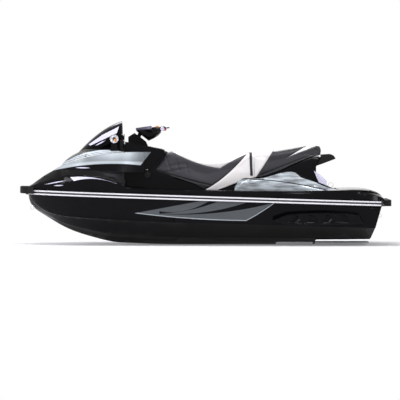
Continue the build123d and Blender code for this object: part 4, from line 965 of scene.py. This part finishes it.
def cast(body, start, way):
    """Where a ray meets a piece: its point and normal."""
    hit, point, normal, _ = body.ray_cast(Vector(start), Vector(way))
    if not hit:
        raise RuntimeError(f"nothing of {body.name} at {start}")
    return point, normal


# How far a face of a cushion may lean and still be smoothed, shrunk or held: parts of its unit normal
CROWN_UP, SIDE_UP, END_OUT = 0.3, -0.3, 0.6
HELD_UP, HELD_OUT = -0.5, 0.8


def cushion(node, finish, seams):
    """A padded cover over a seat's solid, blown out a little by a cloth simulation, with sewn seams."""
    seat = bpy.context.scene.watercraft_seat
    piece = imitate(node, "_cover")
    leave()
    use(piece, "REMESH", mode="VOXEL", voxel_size=seat.voxel)
    edit(everything=False)
    pick(piece, lambda middle, normal: normal.z > CROWN_UP and abs(normal.x) < END_OUT)
    bpy.ops.mesh.vertices_smooth(factor=0.5, repeat=5)
    pick(piece, lambda middle, normal: normal.z > SIDE_UP and abs(normal.x) < END_OUT)
    bpy.ops.transform.shrink_fatten(value=-seat.shrink)
    leave()
    before = [point.co.copy() for point in piece.data.vertices]
    held = piece.vertex_groups.new(name="held")
    still = [p.index for p in piece.data.vertices if p.normal.z < HELD_UP or abs(p.normal.x) > HELD_OUT]
    held.add(still, 1.0, "REPLACE")
    cloth = piece.modifiers.new("Cloth", "CLOTH")
    cloth.settings.use_pressure = True
    cloth.settings.uniform_pressure_force = seat.pressure
    cloth.settings.effector_weights.gravity = 0.0
    cloth.settings.vertex_group_mass = "held"
    for step in range(1, seat.steps + 1):
        bpy.context.scene.frame_set(step)
    bpy.ops.object.modifier_apply(modifier=cloth.name)
    bpy.context.scene.frame_set(1)
    for point, start in zip(piece.data.vertices, before):
        moved = point.co - start
        if moved.length > seat.swell:
            point.co = start + moved * (seat.swell / moved.length)
    piece.vertex_groups.clear()
    use(piece, "SUBSURF", levels=1, render_levels=1)
    normals = [point.normal.copy() for point in piece.data.vertices]
    for point, normal in zip(piece.data.vertices, normals):
        near = min(seam_distance(point.co, seam) for seam in seams)
        if near < 3 * seat.seam_width:
            point.co -= normal * seat.seam_depth * math.exp(-((near / seat.seam_width) ** 2))
    keep_inside(piece, node)
    settle(piece, "seat", finish(finish.__name__), SOFT)
    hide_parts(node)
    return piece


def keep_inside(piece, node):
    """Holds a cover within a few millimetres of its solid's box."""
    low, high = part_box(node)
    spare = bpy.context.scene.watercraft_seat.proud
    for point in piece.data.vertices:
        for axis in range(3):
            point.co[axis] = min(max(point.co[axis], low[axis] - spare), high[axis] + spare)


def seam_distance(place, seam):
    """How far a point is from a run of straight stretches, seen from the side."""
    best = 1.0
    for (x0, z0), (x1, z1) in zip(seam, seam[1:]):
        dx, dz = x1 - x0, z1 - z0
        share = ((place.x - x0) * dx + (place.z - z0) * dz) / (dx * dx + dz * dz)
        share = min(max(share, 0.0), 1.0)
        best = min(best, math.hypot(place.x - x0 - share * dx, place.z - z0 - share * dz))
    return best


def bent(curve, first, last, count=9):
    """Points along the parabola through three points, from one x to another."""
    bend, rise, level = parabola(*curve)
    runs = [first + (last - first) * step / (count - 1) for step in range(count)]
    return [(x, (x * bend + rise) * x + level) for x in runs]


class WATERCRAFT_OT_seats(bpy.types.Operator):
    """The front and rear seat covers and the strap between them"""

    bl_idname = "watercraft.seats"
    bl_label = "Seats"

    def execute(self, context):
        seat = context.scene.watercraft_seat
        front_seams = [
            bent(SEAT_CROWN_FRONT, 0.248, -0.135) + bent(SEAT_CROWN_REAR, -0.145, -0.370),
            bent(SEAT_WEDGE, -0.01, -0.361),
            bent(SEAT_ROLL, 0.457, -0.065),
            *SEAT_CREASES,
        ]
        rear_seams = [REAR_SEAT_FRONT, REAR_SEAT_LOW, REAR_SEAT_HIGH, ((-0.470, 0.345), (-0.930, 0.530))]
        front = cushion("front_seat", front_vinyl, front_seams)
        cushion("rear_seat", rear_vinyl, rear_seams)
        self.strap(front, seat)
        return {"FINISHED"}

    def strap(self, cover, seat):
        """A flat strap laid over the cover from one side to the other."""
        choose()
        bpy.ops.mesh.primitive_grid_add(x_subdivisions=4, y_subdivisions=seat.strap_spans, size=1.0)
        piece = bpy.context.object
        piece.name = "seat_strap"
        core = Vector((0.0, 0.0, seat.strap_core))
        for point in piece.data.vertices:
            turn = math.radians(seat.strap_reach) * point.co.y * 2
            way = Vector((0.0, math.sin(turn), math.cos(turn)))
            lean = seat.strap_top_x + seat.strap_lean * abs(point.co.y * 2) ** 2
            start = core + way + Vector((lean + point.co.x * seat.strap_width, 0.0, 0.0))
            spot, normal = cast(cover, start, -way)
            point.co = spot + normal * 0.0012
        use(piece, "SOLIDIFY", thickness=seat.strap_thick, offset=1.0)
        settle(piece, "seat", webbing("webbing"), ROUND)


class WATERCRAFT_OT_drive(bpy.types.Operator):
    """The jet pump with its shaft, impeller, nozzle, reverse bucket, ride plate and grate"""

    bl_idname = "watercraft.drive"
    bl_label = "Drive"

    def execute(self, context):
        trim = context.scene.watercraft_trim
        dress(cast_alloy, "pump_housing", "steering_nozzle", "ride_plate", "intake_grate", "stern_tube",
              angle=ROUND)
        dress(machined_steel, "impeller", "drive_shaft", angle=ROUND)
        skin("reverse_bucket", moulded_plastic("bucket_plastic"), ROUND)
        low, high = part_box("ride_plate")
        bolts = []
        for step in range(4):
            for sign in (1, -1):
                x = low.x + 0.04 + (high.x - low.x - 0.08) * step / 3
                bolts.append(turned("bolt", (x, sign * (high.y - 0.02), low.z), (0, 0, -1), trim.bolt, 0.0022,
                                    ((trim.bolt * 0.45, 0.0), (0.0, -0.0015)), 6, 0.0003))
        settle(joined("plate_bolts", bolts), "boat", chrome("bolt_steel"))
        return {"FINISHED"}


class WATERCRAFT_OT_fittings(bpy.types.Operator):
    """The bow and stern eyes, the tow ring and the stern bumper's screws"""

    bl_idname = "watercraft.fittings"
    bl_label = "Fittings"

    def execute(self, context):
        dress(chrome, "bow_eye", "stern_eye_left", "stern_eye_right", "tow_ring", angle=ROUND)
        low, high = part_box("stern_bumper")
        screws = [
            turned("screw", (low.x, y, (low.z + high.z) / 2), (-1, 0, 0), 0.0045, 0.0012,
                   ((0.0015, 0.0), (0.0, -0.0008)), 16, 0.0003)
            for y in SCREW_SIDES
        ]
        settle(joined("bumper_screws", screws), "boat", chrome("screw_steel"))
        return {"FINISHED"}


class WATERCRAFT_OT_engine(bpy.types.Operator):
    """The engine block under the seat, which keeps its own mesh"""

    bl_idname = "watercraft.engine"
    bl_label = "Engine"

    def execute(self, context):
        materials = NODES["engine"].data.materials
        materials.clear()
        materials.append(engine_cast("engine_cast"))
        return {"FINISHED"}


class WATERCRAFT_OT_stage(bpy.types.Operator):
    """The floor, the lamps, the world and the camera"""

    bl_idname = "watercraft.stage"
    bl_label = "Stage"

    def execute(self, context):
        stage = context.scene.watercraft_stage
        choose()
        bpy.ops.mesh.primitive_plane_add(size=stage.floor_size, location=(0, 0, stage.floor_height))
        floor = context.object
        floor.name = "studio_floor"
        f = Finish("studio_floor")
        f.look(stage.floor_colour, 0.9, specular=0.0)
        reach = (f.x * f.x * 0.35 + f.y * f.y).power(0.5)
        away = (reach - stage.fade_start).step(stage.fade_width)
        plain = f.node("ShaderNodeEmission", Color=(1.0, 1.0, 1.0, 1.0), Strength=1.0)
        mixed = f.node("ShaderNodeMixShader")
        f.feed(mixed.inputs[0], f.direct() * away.most(stage.floor_glow))
        f.feed(mixed.inputs[1], f.shader.outputs[0])
        f.feed(mixed.inputs[2], plain.outputs[0])
        f.feed(f.tree.nodes["Material Output"].inputs["Surface"], mixed.outputs[0])
        floor.data.materials.append(f.material)
        self.light(context, stage)
        self.film(context, stage)
        return {"FINISHED"}

    def light(self, context, stage):
        world = bpy.data.worlds.new("studio")
        context.scene.world = world
        world.use_nodes = True
        g = Graph(world.node_tree)
        back = g.tree.nodes["Background"]
        g.feed(back.inputs["Color"], (1.0, 1.0, 1.0, 1.0))
        g.feed(back.inputs["Strength"], g.direct() * (1.0 - stage.world_light) + stage.world_light)
        # name, place, target, length, width, share of the main lamp's power
        for name, place, target, length, width, share in (
            ("lamp_over", (0.4, 1.2, 4.2), (0.0, 0.2, 0.2), 4.5, 0.9, 1.0),
            ("lamp_side", (-2.5, 6.0, 3.0), (0.0, 0.0, 0.2), 3.0, 0.8, 0.7),
            ("lamp_nose", (4.5, 2.5, 2.4), (0.6, 0.0, 0.3), 2.0, 0.6, 0.4),
            ("lamp_back", (0.5, -4.5, 3.0), (0.0, 0.0, 0.3), 3.0, 0.8, 0.5),
        ):
            lamp = bpy.data.lights.new(name, "AREA")
            lamp.shape = "RECTANGLE"
            lamp.size = length
            lamp.size_y = width
            lamp.energy = stage.lamp_power * share
            lamp.color = stage.lamp_colour
            holder = bpy.data.objects.new(name, lamp)
            context.scene.collection.objects.link(holder)
            holder.location = place
            aim = Vector(target) - Vector(place)
            holder.rotation_euler = aim.to_track_quat("-Z", "Y").to_euler()

    def film(self, context, stage):
        camera = bpy.data.cameras.new("camera")
        camera.sensor_width = 36.0
        camera.lens = camera.sensor_width * stage.distance / stage.frame_width
        camera.clip_end = 200.0
        holder = bpy.data.objects.new("camera", camera)
        context.scene.collection.objects.link(holder)
        look_at = Vector((stage.aim_x, 0.0, stage.aim_z))
        tilt = stage.elevation
        holder.location = look_at + Vector((0, math.cos(tilt), math.sin(tilt))) * stage.distance
        holder.rotation_euler = (look_at - holder.location).to_track_quat("-Z", "Y").to_euler()
        context.scene.camera = holder
        context.scene.view_settings.view_transform = "Standard"


# Settings


def number(name, note, value, **kind):
    return bpy.props.FloatProperty(name=name, description=note, default=value, **kind)


def length(name, note, value):
    return number(name, note, value, unit="LENGTH", precision=4)


def colour(name, note, value):
    return bpy.props.FloatVectorProperty(name=name, description=note, default=value, subtype="COLOR", size=3,
                                         min=0.0, max=1.0)


class WatercraftStage(bpy.types.PropertyGroup):
    floor_size: length("Floor size", "Side of the floor", 160.0)
    floor_height: length("Floor height", "Height of the floor, under the keel", -0.2515)
    floor_colour: colour("Floor colour", "Colour of the floor in the boat's shadow", (0.88, 0.88, 0.90))
    floor_glow: number("Floor glow", "Share of plain white near the boat", 0.15, subtype="FACTOR")
    fade_start: length("Fade start", "How far from the boat the floor turns plain white", 1.9)
    fade_width: length("Fade width", "Over what distance it turns white", 0.7)
    world_light: number("World light", "Light from all round", 0.62, subtype="FACTOR")
    lamp_power: number("Lamp power", "Power of the main lamp", 150.0, unit="POWER")
    lamp_colour: colour("Lamp colour", "Colour of the lamps", (0.96, 0.95, 1.0))
    distance: length("Camera distance", "From the camera to the boat", 30.0)
    frame_width: length("Frame width", "What the picture spans at the boat", 3.48)
    elevation: number("Elevation", "Angle of the camera above level", math.radians(1.2), unit="ROTATION")
    aim_x: length("Aim forward", "Middle of the picture along the boat", 0.039)
    aim_z: length("Aim height", "Middle of the picture in height", 0.133)


class WatercraftPaint(bpy.types.PropertyGroup):
    black: colour("Black", "Gloss black of hull, deck and cowl", (0.0036, 0.0036, 0.0044))
    silver: colour("Silver", "Middle tone of the silver panels", (0.42, 0.46, 0.49))
    # Pale trim is also the colour of the painted highlights and painted reflections on the foredeck, the
    # nose's side and under the windshield insets
    lilac: colour("Pale trim", "Windshield insets and pale marks", (0.66, 0.65, 0.80))
    stripe: colour("Rail stripe", "Stripes along the rub rail", (0.80, 0.80, 0.84))
    white: colour("White vinyl", "Crown and wedge of the seats", (0.78, 0.76, 0.75))
    charcoal: colour("Charcoal vinyl", "Sides of the front seat", (0.022, 0.022, 0.028))
    pad: colour("Bar cover", "Top of the handlebar cover", (0.13, 0.12, 0.17))
    rubber: colour("Rubber", "Rail, bumpers, mats and grips", (0.005, 0.005, 0.0055))
    plastic: colour("Plastic", "Moulded black plastic", (0.005, 0.005, 0.0055))
    amber: colour("Amber", "Lamp bulb and start button", (0.85, 0.33, 0.06))
    red: colour("Red", "Stop button and needles", (0.62, 0.06, 0.08))


class WatercraftSeat(bpy.types.PropertyGroup):
    voxel: length("Remesh size", "Size of the cover's mesh before it is divided", 0.009)
    shrink: length("Shrink", "How much smaller the cover starts", 0.006)
    swell: length("Swell", "How far a point of the cover may move", 0.011)
    proud: length("Proud", "How far a cover may stand outside its solid", 0.004)
    pressure: number("Pressure", "Pressure inside the cover", 4.0)
    steps: bpy.props.IntProperty(name="Steps", description="Frames that the cloth is given", default=20)
    fill: number("Fill", "How full the cushions are", 0.9, subtype="FACTOR")
    seam_depth: length("Seam depth", "How deep a sewn seam lies", 0.0045)
    seam_width: length("Seam width", "Half the width of the hollow at a seam", 0.0065)
    strap_width: length("Strap width", "Width of the strap", 0.022)
    strap_thick: length("Strap thickness", "Thickness of the strap", 0.003)
    strap_top_x: length("Strap place", "Where the strap crosses the top", -0.397)
    strap_lean: length("Strap lean", "How far its ends lie behind its middle", -0.009)
    strap_core: length("Strap core", "Height that the strap is laid round", 0.40)
    strap_reach: number("Strap reach", "Angle of its ends from the top, in degrees", 104.0)
    strap_spans: bpy.props.IntProperty(
        name="Strap spans", description="Divisions along the strap", default=72)


class WatercraftTrim(bpy.types.PropertyGroup):
    stripe_width: length("Stripe width", "Height of each stripe on the rail", 0.0115)
    stripe_apart: length("Stripe spacing", "From one stripe's middle to the other's", 0.0265)
    bolt: length("Bolt radius", "Radius of the ride plate's bolt heads", 0.007)


GROUPS = (
    ("watercraft_stage", WatercraftStage),
    ("watercraft_paint", WatercraftPaint),
    ("watercraft_seat", WatercraftSeat),
    ("watercraft_trim", WatercraftTrim),
)
OPERATORS = (
    WATERCRAFT_OT_stage,
    WATERCRAFT_OT_hull,
    WATERCRAFT_OT_deck,
    WATERCRAFT_OT_cowl,
    WATERCRAFT_OT_instruments,
    WATERCRAFT_OT_controls,
    WATERCRAFT_OT_seats,
    WATERCRAFT_OT_drive,
    WATERCRAFT_OT_fittings,
    WATERCRAFT_OT_engine,
)


class VIEW3D_PT_watercraft(bpy.types.Panel):
    """Builds and colours the watercraft"""

    bl_label = "Watercraft"
    bl_idname = "VIEW3D_PT_watercraft"
    bl_space_type = "VIEW_3D"
    bl_region_type = "UI"
    bl_category = "Watercraft"

    def draw(self, context):
        column = self.layout.column()
        for operator in OPERATORS:
            column.operator(operator.bl_idname)
        for name, group in GROUPS:
            box = self.layout.box()
            box.label(text=name.split("_")[1].title())
            for setting in group.__annotations__:
                box.prop(getattr(context.scene, name), setting)


def register():
    for name, group in GROUPS:
        bpy.utils.register_class(group)
        setattr(bpy.types.Scene, name, bpy.props.PointerProperty(type=group))
    for cls in (*OPERATORS, VIEW3D_PT_watercraft):
        bpy.utils.register_class(cls)


def unregister():
    for cls in (VIEW3D_PT_watercraft, *reversed(OPERATORS)):
        bpy.utils.unregister_class(cls)
    for name, group in reversed(GROUPS):
        delattr(bpy.types.Scene, name)
        bpy.utils.unregister_class(group)


def main():
    register()
    for operator in OPERATORS:
        family, name = operator.bl_idname.split(".")
        getattr(getattr(bpy.ops, family), name)()


if __name__ == "__main__":
    main()
